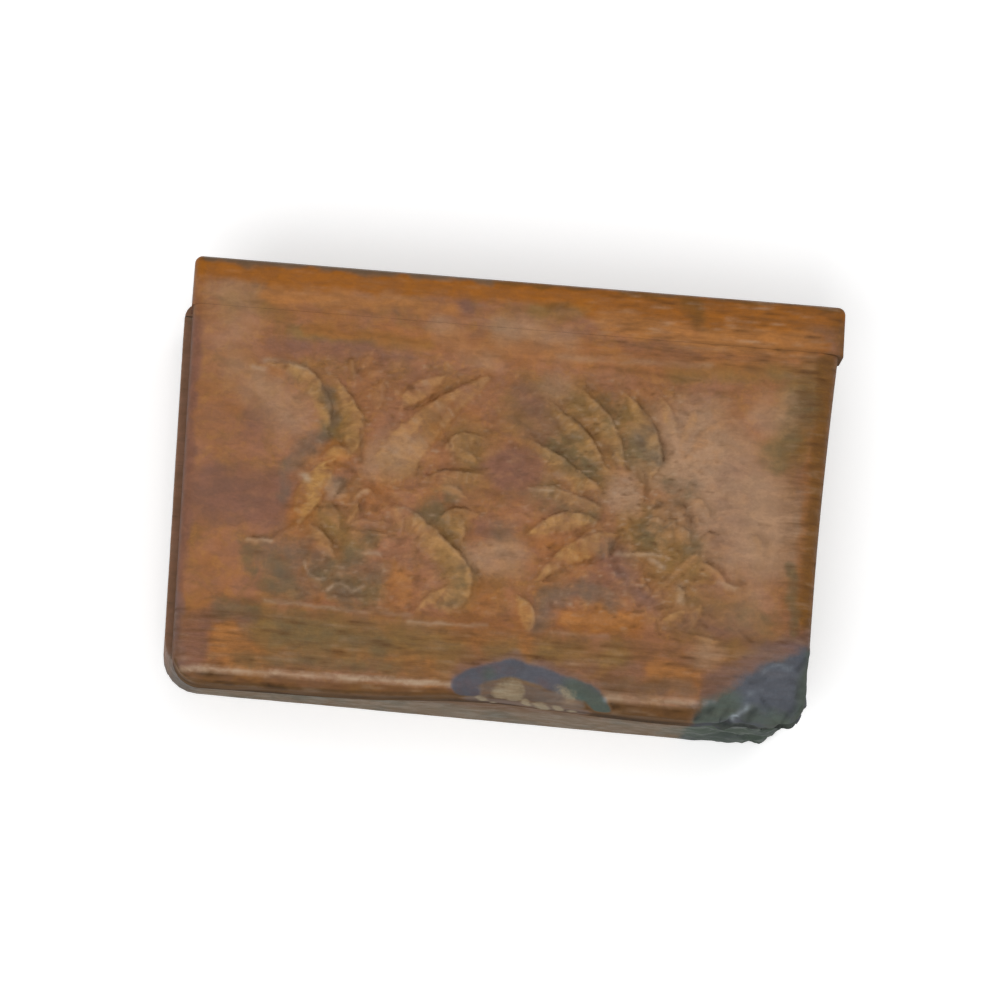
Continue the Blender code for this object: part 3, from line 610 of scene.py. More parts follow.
def makeLacquer():
    look, desk, place, grain, mottle = newWood("mottledLacquer", 1000.0, 0.12, 1.0)
    clouds, flecks, specks = (mottle[name] for name in ("Clouds", "Flecks", "Specks"))
    masks = {name: desk.patch(name, place, *edge) for name, (*edge, share) in layers.items()}

    def paint(colour, name):
        return desk.lay(colour, masks[name], lacquer[name], layers[name][3])

    colour = desk.mix(clouds, lacquer["base"], lacquer["second"])
    sage = desk.between(desk.noise(place, 150.0, 4.0, 0.6, 0.6), 0.46, 0.66)
    tan = desk.between(desk.noise(place, 340.0, 4.0, 0.65, 0.8), 0.48, 0.64)
    for share, tone, most in ((sage, "sage", 0.4), (tan, "tan", 0.4), (grain["Figure"], "dark", 0.22)):
        colour = desk.lay(colour, share, lacquer[tone], most)
    for name in list(layers)[:underLeaves]:
        colour = paint(colour, name)
    rise = desk.mask("rise")
    leafTone = desk.mix(desk.mask("gold"), lacquer["leaf"], lacquer["gold"])
    colour = desk.lay(colour, desk.times(rise, desk.between(flecks, 0.0, 1.0, 0.68, 1.0)), leafTone, 0.66)
    masks["smoke"] = desk.times(masks["smoke"], desk.between(rise, 0.0, 1.0, 1.0, 0.5))
    colour = paint(paint(colour, "smoke"), "ash")
    bluish = desk.between(desk.noise(place, 140.0, 4.0, 0.6), 0.42, 0.56, 0.0, 0.6)
    across = desk.add("ShaderNodeSeparateXYZ", {0: place}).outputs["X"]
    bluish = desk.math("MAXIMUM", bluish, desk.between(across, 0.028, 0.040, 0.0, 0.85))
    slateTone = desk.mix(bluish, lacquer["slate"], lacquer["slateBlue"])
    slateTone = desk.lay(slateTone, masks["green"], lacquer["slateGreen"])
    slate = masks["slate"]
    colour = paint(desk.lay(colour, slate, slateTone, layers["slate"][3]), "cream")

    # painted shade: faces turned to the front and sides are darkened, plum where the plum patch lies
    side = desk.mask("side")
    sideTone = desk.mix(masks["plum"], lacquer["side"], lacquer["shadePlum"])
    sideTone = desk.lay(sideTone, desk.between(clouds, 0.3, 0.9), lacquer["side"], 0.5)
    stained = desk.math("MAXIMUM", desk.math("MAXIMUM", slate, masks["cream"]), masks["ash"])
    colour = desk.lay(colour, desk.times(side, desk.without(stained)), sideTone, 0.9)

    streak = desk.times(desk.mask("streak"), desk.without(slate))
    lineShare = desk.times(desk.without(grain["Lines"]), desk.plus(0.10, desk.times(streak, 0.8)))
    colour = desk.mix(lineShare, colour, lacquer["dark"])
    tone = desk.times(desk.between(specks, 0.0, 1.0, 0.96, 1.04), desk.between(flecks, 0.0, 1.0, 0.90, 1.08))
    evenTone = desk.add("ShaderNodeCombineColor", {0: tone, 1: tone, 2: tone}).outputs[0]
    colour = desk.mix(1.0, colour, evenTone, "MULTIPLY")
    # dark paint: dirt in the carved grooves, and painted shade in the small hollows and on the lid's foot
    dirt = desk.times(desk.mask("cut"), desk.between(specks, 0.0, 1.0, 0.7, 1.0), True)
    dirt = desk.times(dirt, desk.without(desk.times(masks["cream"], 0.85)))
    cutTone = desk.mix(slate, desk.mix(side, lacquer["cut"], lacquer["foot"]), lacquer["blackSlate"])
    colour = desk.lay(colour, dirt, cutTone, 0.9)
    # pale crests: wear on edges, and painted highlights on the lid and rail
    worn = desk.times(desk.mask("crest"), desk.between(flecks, 0.2, 0.8, 0.6, 1.0), True)
    colour = desk.mix(worn, colour, desk.mix(slate, lacquer["crest"], lacquer["paleSlate"]))

    rough = desk.between(flecks, 0.0, 1.0, lacquer["rough"] - 0.06, lacquer["rough"] + 0.10)
    rough = desk.plus(desk.plus(rough, desk.times(slate, 0.32)), desk.times(dirt, 0.3))
    rough = desk.plus(rough, desk.times(side, 0.45), True)
    height = desk.times(grain["Lines"], desk.plus(0.25, desk.times(streak, 2.0)))
    for share, more in ((flecks, 0.6), (specks, 0.10), (grain["Pores"], -0.35)):
        height = desk.plus(height, desk.times(share, more))
    desk.dress(colour, rough, height, 0.30, {"Specular IOR Level": lacquer["shine"]})
    return look


weathered = palette(
    base=(120, 106, 89), brown=(112, 92, 70), dark=(82, 68, 52), rust=(100, 69, 42), slate=(58, 64, 64),
    slateGreen=(62, 72, 62), plum=(138, 101, 80), shade=(78, 74, 72), worn=(134, 122, 104),
    rough=0.62, shine=0.18)


def makeWeathered():
    look, desk, place, grain, mottle = newWood("weatheredWood", 1100.0, 0.07, 1.2)
    clouds, flecks = mottle["Clouds"], mottle["Flecks"]
    slate = desk.patch("slate", place, 380.0, 0.5, 0.2)
    colour = desk.mix(clouds, weathered["brown"], weathered["base"])
    uneven = desk.between(clouds, 0.0, 1.0, 0.55, 1.0)
    for share, tone, most in (
            (desk.between(desk.noise(place, 120.0, 4.0, 0.6), 0.44, 0.62), "slateGreen", 0.45),
            (desk.patch("rust", place, 300.0, 0.6, 0.4), "rust", 0.9),
            (desk.times(desk.mask("plum"), uneven), "plum", 0.9), (desk.mask("shade"), "shade", 0.85),
            (desk.without(grain["Lines"]), "dark", 0.3), (grain["Pores"], "dark", 0.5)):
        colour = desk.lay(colour, share, weathered[tone], most)
    colour = desk.mix(slate, colour, desk.mix(clouds, weathered["slate"], weathered["slateGreen"]))
    worn = desk.times(desk.mask("crest"), desk.between(flecks, 0.2, 0.8, 0.2, 0.9), True)
    colour = desk.lay(colour, desk.times(worn, desk.without(slate)), weathered["worn"], 0.7)
    rough = desk.between(flecks, 0.0, 1.0, weathered["rough"] - 0.06, weathered["rough"] + 0.14)
    height = desk.plus(desk.times(grain["Lines"], 0.6), desk.times(flecks, 0.5))
    height = desk.plus(height, desk.times(grain["Pores"], -0.6))
    desk.dress(colour, rough, height, 0.35, {"Specular IOR Level": weathered["shine"]})
    return look


plainWood = palette(base=(142, 106, 70), dark=(104, 72, 46), rough=0.6)


def makePlainWood():
    look, desk, place, grain, mottle = newWood("plainWood", 900.0, 0.04, 0.8)
    colour = desk.mix(desk.times(mottle["Clouds"], 0.4), plainWood["base"], plainWood["dark"])
    colour = desk.lay(colour, desk.without(grain["Lines"]), plainWood["dark"], 0.7)
    height = desk.plus(grain["Lines"], desk.times(grain["Pores"], -0.6))
    desk.dress(colour, plainWood["rough"], height, 0.3)
    return look


redFelt = palette(base=(104, 30, 34), light=(134, 52, 52), rough=0.95, sheen=0.35, sheenRough=0.5)


def makeFelt():
    look, desk, place = newMaterial("redFelt")
    fuzz, clumps = desk.noise(place, 2600.0, 4.0, 0.7, 0.6), desk.noise(place, 520.0, 3.0, 0.6, 0.5)
    blend = desk.plus(desk.times(fuzz, 0.6), desk.times(clumps, 0.4))
    colour = desk.mix(desk.between(blend, 0.35, 0.65), redFelt["base"], redFelt["light"])
    sheen = {"Sheen Weight": redFelt["sheen"], "Sheen Roughness": redFelt["sheenRough"]}
    desk.dress(colour, redFelt["rough"], blend, 0.8, sheen, 0.0003)
    return look


brass = palette(base=(190, 152, 84), tarnish=(112, 84, 48), rough=0.3)


def makeBrass(name, tarnished):
    look, desk, place = newMaterial(name)
    mottle = desk.use("mottle", Place=place, Scale=3.0)
    colour = desk.mix(desk.times(mottle["Clouds"], tarnished), brass["base"], brass["tarnish"])
    rough = desk.between(mottle["Clouds"], 0.0, 1.0, brass["rough"], brass["rough"] + 0.25)
    brushed = desk.noise(desk.stretch(place, (0.08, 1.0, 1.0)), 5200.0, 3.0, 0.6)
    height = desk.plus(brushed, desk.times(mottle["Specks"], 0.4))
    desk.dress(colour, rough, height, 0.25, {"Metallic": 1.0}, 0.00005)
    return look


# ---- the carved lid

lid = {
    "front": -38.75, "joint": 29.85, "leftBack": -59.15, "leftFront": -58.05,
    "rightBack": 59.65, "rightFront": 57.05, "waist": 0.65,
    "base": 18.5, "top": 27.0, "edge": 1.8, "under": 0.4, "leftCorner": 5.5, "rightCorner": 3.8,
    "borderLeft": 3.0, "borderRight": 3.4, "ridgeLeft": 13.0, "ridgeRight": 11.8,
    "backLeft": 2.8, "backRight": 5.2, "sideCove": 8.0, "backCove": 5.5, "frontCove": 3.0, "fieldDepth": 0.95,
    "frontFall": 1.0, "rightFall": 0.9, "fine": 0.30, "coarse": 0.46, "rows": 12,
    # how far the worn front edge stands in front of or behind its straight line: x, then how far
    "frontWave": (-62, -1.05, -45, -1.0, -25, -0.9, -15, -0.4, -6, 0.1, 2, 0.2, 10, -0.2, 20, -0.75,
                  30, -1.15, 38, -1.2, 48, -0.8, 62, -0.3),
}

# kind, width, lift, how golden, then the path from root to tip
leaves = [
    ("leaf", 3.4, 0.55, 0.5, -33, 7.7, -33.8, 11.2, -35.2, 14.7, -37.8, 17.8, -41, 19.2, -45.2, 19.8),
    ("leaf", 1.6, 0.35, 0.2, -28.6, 16.4, -29.3, 19.2, -29.9, 22),
    ("leaf", 1.5, 0.35, 0, -27.4, 20.2, -26.9, 22, -25.8, 23.6),
    ("leaf", 3.8, 0.65, 0.6, -29.4, 3.4, -28.3, 6.7, -28.4, 10.2, -30, 13.7, -32.3, 17.8),
    ("blade", 8.6, 0.6, 0.35, -21.5, 0.4, -19, 5.8, -15, 10.8, -10.4, 15.4, -4.6, 20.2),
    ("leaf", 3.6, 0.6, 0.3, -20.2, 13.4, -17.5, 16.4, -12.4, 20.2),
    ("leaf", 2.4, 0.45, 0, -24.2, 12.8, -24.4, 15.4, -23.6, 18.4),
    ("leaf", 3.8, 0.65, 0.4, -11.4, 6.4, -8.6, 7.8, -4.8, 9),
    ("leaf", 1.9, 0.5, 0.3, -9.4, 6.6, -7.4, 5.4, -5.6, 4.4),
    ("leaf", 1.9, 0.4, 0.1, -12.5, -0.8, -9.5, -1.1, -6.8, -2.4),
    ("leaf", 3.2, 0.6, 0.1, -15.2, 0.2, -11, 1.1, -4.4, 1.8),
    ("leaf", 2.2, 0.5, 0.4, -9.6, -6.8, -8, -8.3, -7.2, -10.4),
    ("leaf", 3.8, 0.65, 0.3, -11.6, -6.4, -8.6, -6.2, -4.7, -5.2),
    ("stem", 4.6, 0.55, 0.45, -19.6, -5.8, -16, -8.4, -12.6, -11.4, -9.4, -14, -7.3, -17, -7.6, -20.2,
     -9.2, -22.8), ("leaf", 2, 0.5, 0.5, -9.4, -19.2, -12, -21.4, -15, -24),
    ("leaf", 2, 0.5, 0.2, -19.9, -4.8, -19.2, -7.4, -18.6, -10),
    ("leaf", 5.2, 0.7, 1, -31.6, 2.8, -34, -1, -36, -5.2, -37.2, -10),
    ("leaf", 2.2, 0.45, 0.9, -28.4, 3.8, -31, 4.4, -34, 2.8),
    ("leaf", 2.4, 0.5, 0.2, -35.2, -9.8, -33, -12, -30.2, -15.4),
    ("stem", 1, 0.35, 0, -37, -10, -39.2, -11.4, -41.8, -13.2, -46.4, -13.4),
    ("leaf", 2.2, 0.45, 0, -32.6, -6.2, -31, -7.4, -29.8, -10),
    ("stem", 1.1, 0.45, 0.2, -28.4, -8.4, -26.9, -6, -27.3, -4, -25.4, -2.6, -23.6, -3.8),
    ("stem", 1, 0.4, 0, -27.4, -8.7, -24.5, -8.2, -21.2, -8.4),
    ("stem", 0.9, 0.4, 0, -26.5, -10.5, -24, -10.2, -21, -10.4),
    ("leaf", 3.8, 0.6, 0.4, 17, 1, 12.5, 2.8, 8.5, 5.6, 3.6, 9.4),
    ("leaf", 3.3, 0.65, 0.5, 18.2, 4.6, 14.8, 8.4, 11.2, 12.2, 6.9, 16.8),
    ("leaf", 3.2, 0.65, 0.4, 21.3, 5.4, 19.2, 10.2, 16.8, 14.6, 12.8, 19.8),
    ("leaf", 3.6, 0.7, 0.5, 26.3, 3.8, 26.6, 8.8, 24.4, 14.2, 20.6, 19.6),
    ("leaf", 2.4, 0.45, 0.6, 30.4, 12.2, 28.9, 15.8, 27.2, 19.4),
    ("leaf", 1.9, 0.3, 0.2, 31.2, 10.6, 33, 14.4, 33.8, 18.4),
    ("leaf", 2.6, 0.3, 0, 33.6, 9.4, 37, 13.6, 40.6, 16.8),
    ("leaf", 2.8, 0.5, 0.3, 17.4, -2.4, 12, -1.2, 8, -0.2, 3.9, 0.5),
    ("leaf", 3.8, 0.65, 0.7, 16.8, -4.6, 12.5, -5, 8.4, -6.4, 4.2, -8.2),
    ("leaf", 4.6, 0.75, 0.7, 21.4, -7, 16.6, -9.2, 11.6, -12.4, 6.4, -16.6),
    ("leaf", 3.2, 0.5, 0.6, 5.8, -26.6, 5.2, -23.2, 3.2, -19.4),
    ("leaf", 1.9, 0.45, 0, 18, -7.8, 18.6, -9.4, 19, -11.2),
    ("stem", 1.7, 0.5, 0.1, 27.3, -18.9, 30.4, -15.2, 35.4, -9.8),
    ("leaf", 2.1, 0.45, 0.3, 32.4, -15.7, 33, -17.4, 34, -19.2),
    ("leaf", 2.1, 0.45, 0.5, 33.8, -20.2, 32, -21.6, 29.8, -22.6),
    ("leaf", 2.2, 0.4, 0.4, 36.8, -19.2, 35.6, -21.2, 35.2, -23.4),
    ("stem", 1.2, 0.4, 0.2, 36.4, -11.4, 39.2, -12.8, 41, -14.8, 43.8, -15.4),
    ("leaf", 1.1, 0.35, 0.4, 22.2, -10.5, 25.4, -10.3, 29.2, -10.2),
    ("leaf", 1.6, 0.4, 0, 35.8, -7, 37.4, -6.2, 39.4, -5.4),
    ("leaf", 1.5, 0.35, 0.1, 34, 0.6, 36, -0.2, 37.6, -2.6),
    ("leaf", 1.4, 0.35, 0.2, 27.4, -17.4, 26.2, -15.8, 25.6, -14),
    ("leaf", 1.6, 0.3, 0.2, 36, -24.8, 38.4, -25.8, 41, -25.4),
    ("leaf", 1.6, 0.2, 0.2, 45, -5, 46.6, -6.8, 47, -8.8),
]
flower = {
    "centre": (30.4, -4.2), "petals": 6, "start": 0.6, "reach": 4.7, "width": 3.6, "lift": 0.30,
    "golden": 0.15, "knob": 1.0, "knobRing": 0.4,
}

# width, depth, how dark, then the path
cuts = [
    (1.2, 0.35, 0.7, -34.7, 16.8, -33, 13.2, -31.8, 9.7, -31, 7.4, -30.2, 5.6),
    (1.1, 0.4, 1, -27.2, 10.8, -24.6, 10.4), (0.9, 0.35, 0.8, -27.2, 8.8, -26.7, 5.7, -26.8, 2.7),
    (0.9, 0.4, 0.8, -19.4, 13.2, -15.8, 14.8, -12.4, 17.4, -9.2, 19.1, -5.8, 20.8),
    (1, 0.4, 0.9, -14.6, 1.7, -10, 2.8, -3.2, 3.4),
    (1, 0.4, 0.8, -32.8, 1.8, -30, 2.4, -28.2, 1.4, -27.2, 0.5),
    (1, 0.45, 1, -28, 0, -29.3, -1.4, -30.4, -3.2), (0.8, 0.35, 0.9, -33.8, -6.1, -31, -5.7, -28.8, -5.8),
    (0.8, 0.35, 0.8, -34.6, -8.2, -32.2, -10.4, -29.4, -13.4),
    (2, 0.35, 0.5, -15.8, -3.6, -13.4, -5.4, -12.8, -7.8),
    (1.1, 0.4, 0.8, -11, -8.4, -8.2, -11.2, -5.4, -14, -3.6, -17),
    (0.8, 0.35, 0.8, -11.4, -3.7, -8, -4, -4.2, -3.6), (0.6, 0.25, 0.7, -46.4, -15.5, -42.5, -15.2),
    (0.7, 0.3, 0.7, -45.4, -12.6, -43, -12, -40.6, -11.2), (1, 0.4, 0.9, -33.2, 9, -32, 6.6),
    (0.7, 0.3, 0.8, -36.8, -21.6, -34, -22.6), (1.2, 0.35, 0.8, -25.4, -3.8, -26.2, -5.4, -25, -7.2),
    (0.8, 0.25, 1, -10.6, -27.6, -9.2, -27.7), (0.7, 0.2, 0.8, -8, -28.2, -2, -28.8),
    (0.6, 0.3, 1, -6.3, 8.1, -5.2, 7.7), (0.7, 0.3, 0.7, -11.6, 8.8, -10.4, 6.6),
    (0.7, 0.25, 0.8, -30.2, 21.9, -29, 21.8), (0.8, 0.3, 0.9, -31.6, -21.4, -28.4, -22, -24.2, -21.6),
    (0.6, 0.25, 0.8, -29.6, -19.2, -27.4, -19.6), (0.6, 0.3, 0.8, -33.4, -17.4, -34.2, -18.8),
    (0.9, 0.35, 0.8, 4, 10.5, 7.4, 9.3, 10, 8.7, 11.6, 6.4, 12.6, 4.2),
    (1, 0.4, 0.9, 8.6, 17.2, 11, 14.1, 14.6, 11.4, 17.4, 10.1, 19.3, 7.8),
    (0.9, 0.4, 0.9, 13.4, 20.7, 16.6, 18.4, 19.8, 15.2),
    (1.3, 0.5, 1, 21.4, 20.3, 23.6, 18, 25.2, 15, 27.6, 12.5, 28.7, 9.8, 28.3, 7.6),
    (0.9, 0.3, 0.7, 29.6, 20.3, 30.8, 18, 32.6, 16.4), (0.9, 0.35, 0.9, 25.3, 4.8, 25.9, 2.2, 25.4, -0.2),
    (1.1, 0.35, 0.8, 21.2, 6.3, 23.4, 4.8, 25, 3.2), (0.7, 0.3, 0.8, 3.6, -4.6, 7.4, -5),
    (0.9, 0.4, 0.8, 8.4, -10.3, 12, -8.3, 16.6, -5.7), (0.9, 0.4, 0.9, 8, -16.5, 13, -13.3, 18.6, -11.5),
    (0.9, 0.4, 1, 21.3, -6.6, 20.4, -8.8, 19.8, -10.8), (0.7, 0.3, 0.8, 22, -8, 25.8, -9),
    (1, 0.4, 0.95, 37.4, -10.5, 40, -11.6, 41.6, -13.6, 44.6, -14.1),
    (1.7, 0.5, 1.1, 27, -1.4, 29.6, -0.2, 32.6, -0.5, 33.9, -2.4, 34.4, -5.8),
    (0.7, 0.3, 1, 37.6, -4.8, 39.4, -5.8), (0.7, 0.3, 0.9, 31.4, -15.4, 34.2, -15.6),
    (0.7, 0.3, 0.8, 25.4, -16.7, 27.4, -15), (0.7, 0.3, 0.8, 26.6, -19.7, 31, -19.6),
    (0.6, 0.25, 0.9, 24.2, -21.1, 26.6, -20.6), (0.7, 0.25, 0.9, 8, -27.7, 11.6, -28, 15.8, -27.5),
    (0.6, 0.25, 0.8, 19, -28, 24, -28.3), (0.6, 0.2, 0.8, 20.4, -31.3, 24, -31.2),
    (0.9, 0.3, 0.75, 14, 24, 22, 23.7, 34, 22.8), (0.7, 0.2, 0.6, 4, 24.3, 8, 24),
    (0.8, 0.25, 0.5, -42, 26.7, -30, 26.6, -16, 25.7), (0.8, 0.2, 0.6, -7, 24.8, 0, 24.2),
    (0.6, 0.25, 0.9, 36.6, -22, 38.2, -22.8), (0.6, 0.25, 0.8, 44, -22.8, 46.6, -25.2),
    (0.7, 0.25, 0.8, 28.8, -22.2, 29.6, -25), (0.5, 0.2, 0.9, 38.4, -20.4, 40.2, -21),
    (0.5, 0.2, 0.8, 31, -25.4, 33.6, -25.8), (0.5, 0.15, 0.6, 46.2, -3.2, 48.8, -3.2),
    (0.6, 0.2, 0.9, 45.6, 23.8, 46.6, 22.8), (0.6, 0.2, 0.8, 51.6, 22.2, 54, 21.6),
    (1.4, 0.5, 1, 45.6, -40, 46.6, -38.6, 47.8, -37.4), (1.6, 0.4, 1, 36.8, -39.6, 38, -38.2, 40, -37.8),
    (1, 0.4, 0.8, 52.8, -39.4, 54.6, -36.4, 55.4, -32.4), (0.8, 0.3, 0.7, 41.6, -39.8, 42.8, -37),
    (0.8, 0.3, 0.7, 48.8, -35.4, 50.6, -37.2), (0.7, 0.25, 0.6, 46, -33, 49.4, -31.4),
    (0.9, 0.3, 0.8, 54.8, -29.8, 56.4, -27),
]

# width and strength of pale lines: painted highlights, among them the line along the front roll and the
# corner's facets, partly worn edges; then the path
glints = [
    (0.8, 1.1, -56, -37.9, -52, -37.5, -40, -37.4, -25, -37.3, -16, -37.2, -8, -37),
    (1.1, 0.7, 20.6, -37.3, 28, -37.3, 36.4, -37.1), (0.8, 0.5, -42, -24.2, -30, -24.8, -16, -25),
    (0.6, 0.5, -16, -26.4, -2, -25.8), (0.7, 0.25, 10, -26.2, 20, -26),
    (1, 0.3, 8, 25.2, 22, 25.4, 36, 25.8), (0.6, 0.6, -46, -13.3, -42, -13.2),
    (0.7, 0.45, -29, -13.8, -22, -14), (0.8, 0.7, -45.4, 20.4, -41, 20.3, -37.6, 19.2),
    (1.2, 0.9, -36.9, -0.6, -36.2, -1.4), (0.8, 0.6, -26.8, -3.4, -25.4, -2.8),
    (0.8, 0.5, -32.4, -2.6, -31.6, -0.6), (0.8, 0.6, 20.8, -10.6, 29, -10.2),
    (0.9, 0.7, 27, -11, 29.5, -12.2), (0.8, 0.6, 39.4, -14.4, 42.8, -15.2),
    (0.5, 0.6, -35.6, -16.6, -34.6, -18.4, -33.2, -19.4, -31.6, -19.2),
    (0.5, 0.6, -31.2, -21.4, -29, -19.9, -26.8, -21.2, -24.6, -20), (1, 0.5, 6.8, 3.2, 10.2, 3.2),
    (0.6, 0.5, 4.4, 0.2, 8.6, 0), (0.6, 0.4, -28.4, -24.4, -20, -24.2), (1.3, 0.6, 32.8, -16, 33.2, -18.2),
    (0.8, 0.5, -47.6, 18.9, -45.6, 18.5), (0.8, 0.9, 43.6, -39.4, 44.6, -38.2, 46.2, -37),
    (0.7, 0.35, 38.4, -37, 40.2, -36.4), (0.7, 0.4, 48.6, -30.4, 51, -29, 53.6, -29.4),
    (0.7, 0.3, 46.4, -34.6, 48.4, -34),
]

# x, y, radius, height of small rounded lumps
lumps = [
    (-34.4, -16, 1.3, 0.26), (-35, -18.6, 0.8, 0.22), (-33, -20.2, 1.2, 0.22), (-30.2, -20.2, 0.8, 0.26),
    (-27.6, -20.8, 1.3, 0.22), (-25, -20.6, 0.8, 0.22), (24.4, -6, 1, 0.3), (26, -4, 1, 0.25),
    (27.6, -11.4, 0.9, 0.4), (29.2, -12.2, 0.7, 0.35), (9.2, 3.8, 1, 0.3), (5.2, -7.4, 1, 0.25),
    (9, -7.4, 0.8, 0.25), (7.2, -6.7, 0.8, 0.25), (-7.6, 7.4, 0.9, 0.2), (-8.4, -6, 0.9, 0.2),
    (3.2, -37.2, 2.1, 0.35), (12, -36.6, 1.5, 0.3), (-1.6, -38, 1.2, 0.25),
]


def sideLines(y):
    share = (lid["joint"] - y) / (lid["joint"] - lid["front"])
    left = lid["leftBack"] + (lid["leftFront"] - lid["leftBack"]) * share
    right = lid["rightBack"] + (lid["rightFront"] - lid["rightBack"]) * share
    return left, right - lid["waist"] * np.sin(np.pi * unit(share))


def gridLines(total, start, end):
    # places of the grid's lines: coarse at both ends, fine from start to end
    lines = []
    for low, high, step in ((0, start, "coarse"), (start, end, "fine"), (end, total, "coarse")):
        count = max(1, round((high - low) / lid[step]))
        lines.extend(low + (high - low) * index / count for index in range(count))
    return np.array(lines + [total])


def rolledIn(measured):
    # how far in from the edge a place is that was measured round the rounded edge
    turn = np.clip(measured / lid["edge"], 0, math.pi / 2)
    return lid["edge"] * (1 - np.cos(turn)) + np.maximum(measured - lid["edge"] * math.pi / 2, 0)


def shapePlan(u, v):
    # lid plan from grid places: u across, v from front to back, measured round the edges
    width = lid["rightBack"] - lid["leftBack"]
    total = width + lid["edge"] * (math.pi / 2 - 1) * 2
    inX = np.where(u < total / 2, rolledIn(u), width - rolledIn(total - u))
    y = lid["front"] + rolledIn(v)
    for radius, side in ((lid["leftCorner"], "left"), (lid["rightCorner"], "right")):
        across = inX if side == "left" else width - inX
        ahead = y - lid["front"]
        corner = (across < radius) & (ahead < radius)
        p, q = (radius - across) / radius, (radius - ahead) / radius
        newAcross = radius * (1 - p * np.sqrt(np.maximum(1 - q * q / 2, 0)))
        newAhead = radius * (1 - q * np.sqrt(np.maximum(1 - p * p / 2, 0)))
        inX = np.where(corner, newAcross if side == "left" else width - newAcross, inX)
        y = np.where(corner, lid["front"] + newAhead, y)
    left, right = sideLines(y)
    return left + (right - left) * inX / width, y


def edgeDistance(x, y):
    left, right = sideLines(y)
    ahead = y - lid["front"]
    inside = np.minimum(np.minimum(x - left, right - x), ahead)
    for radius, across in ((lid["leftCorner"], x - left), (lid["rightCorner"], right - x)):
        corner = (across < radius) & (ahead < radius)
        inside = np.where(corner, radius - np.hypot(radius - across, radius - ahead), inside)
    return np.maximum(inside, 0)


def leafHalf(kind, travel, width):
    # half the width of a leaf, from its root at 0 to its tip at 1
    if kind == "leaf":
        shape = np.sin(np.pi * np.clip(travel, 0.02, 0.985) ** 0.85) ** 0.75
    elif kind == "blade":
        shape = unit(travel * 8 + 0.2) ** 0.5 * unit(1.04 - travel) ** 0.62
    elif kind == "petal":
        shape = np.sin(np.pi * np.clip(travel, 0.08, 0.93) ** 1.25) ** 0.6
    else:
        shape = unit(np.minimum(travel, 1 - travel) * 7 + 0.25) ** 0.5
    return np.maximum(width / 2 * shape, 0.15)


# the finer relief: lengths and heights in millimetres, and how dark its grooves are painted
relief = {
    "waver": 0.22, "grit": 0.045, "ribs": 0.10, "ribLength": 0.85, "ribWidth": 3.2, "grooveAt": 0.58,
    "grooveWidth": 0.80, "grooveDepth": 0.20, "grooveDark": 0.32, "lumpRing": 0.26,
    "folds": 0.16, "crumbs": 0.05, "marks": 0.09, "frontRidge": 0.08, "rollRidge": 0.07,
}


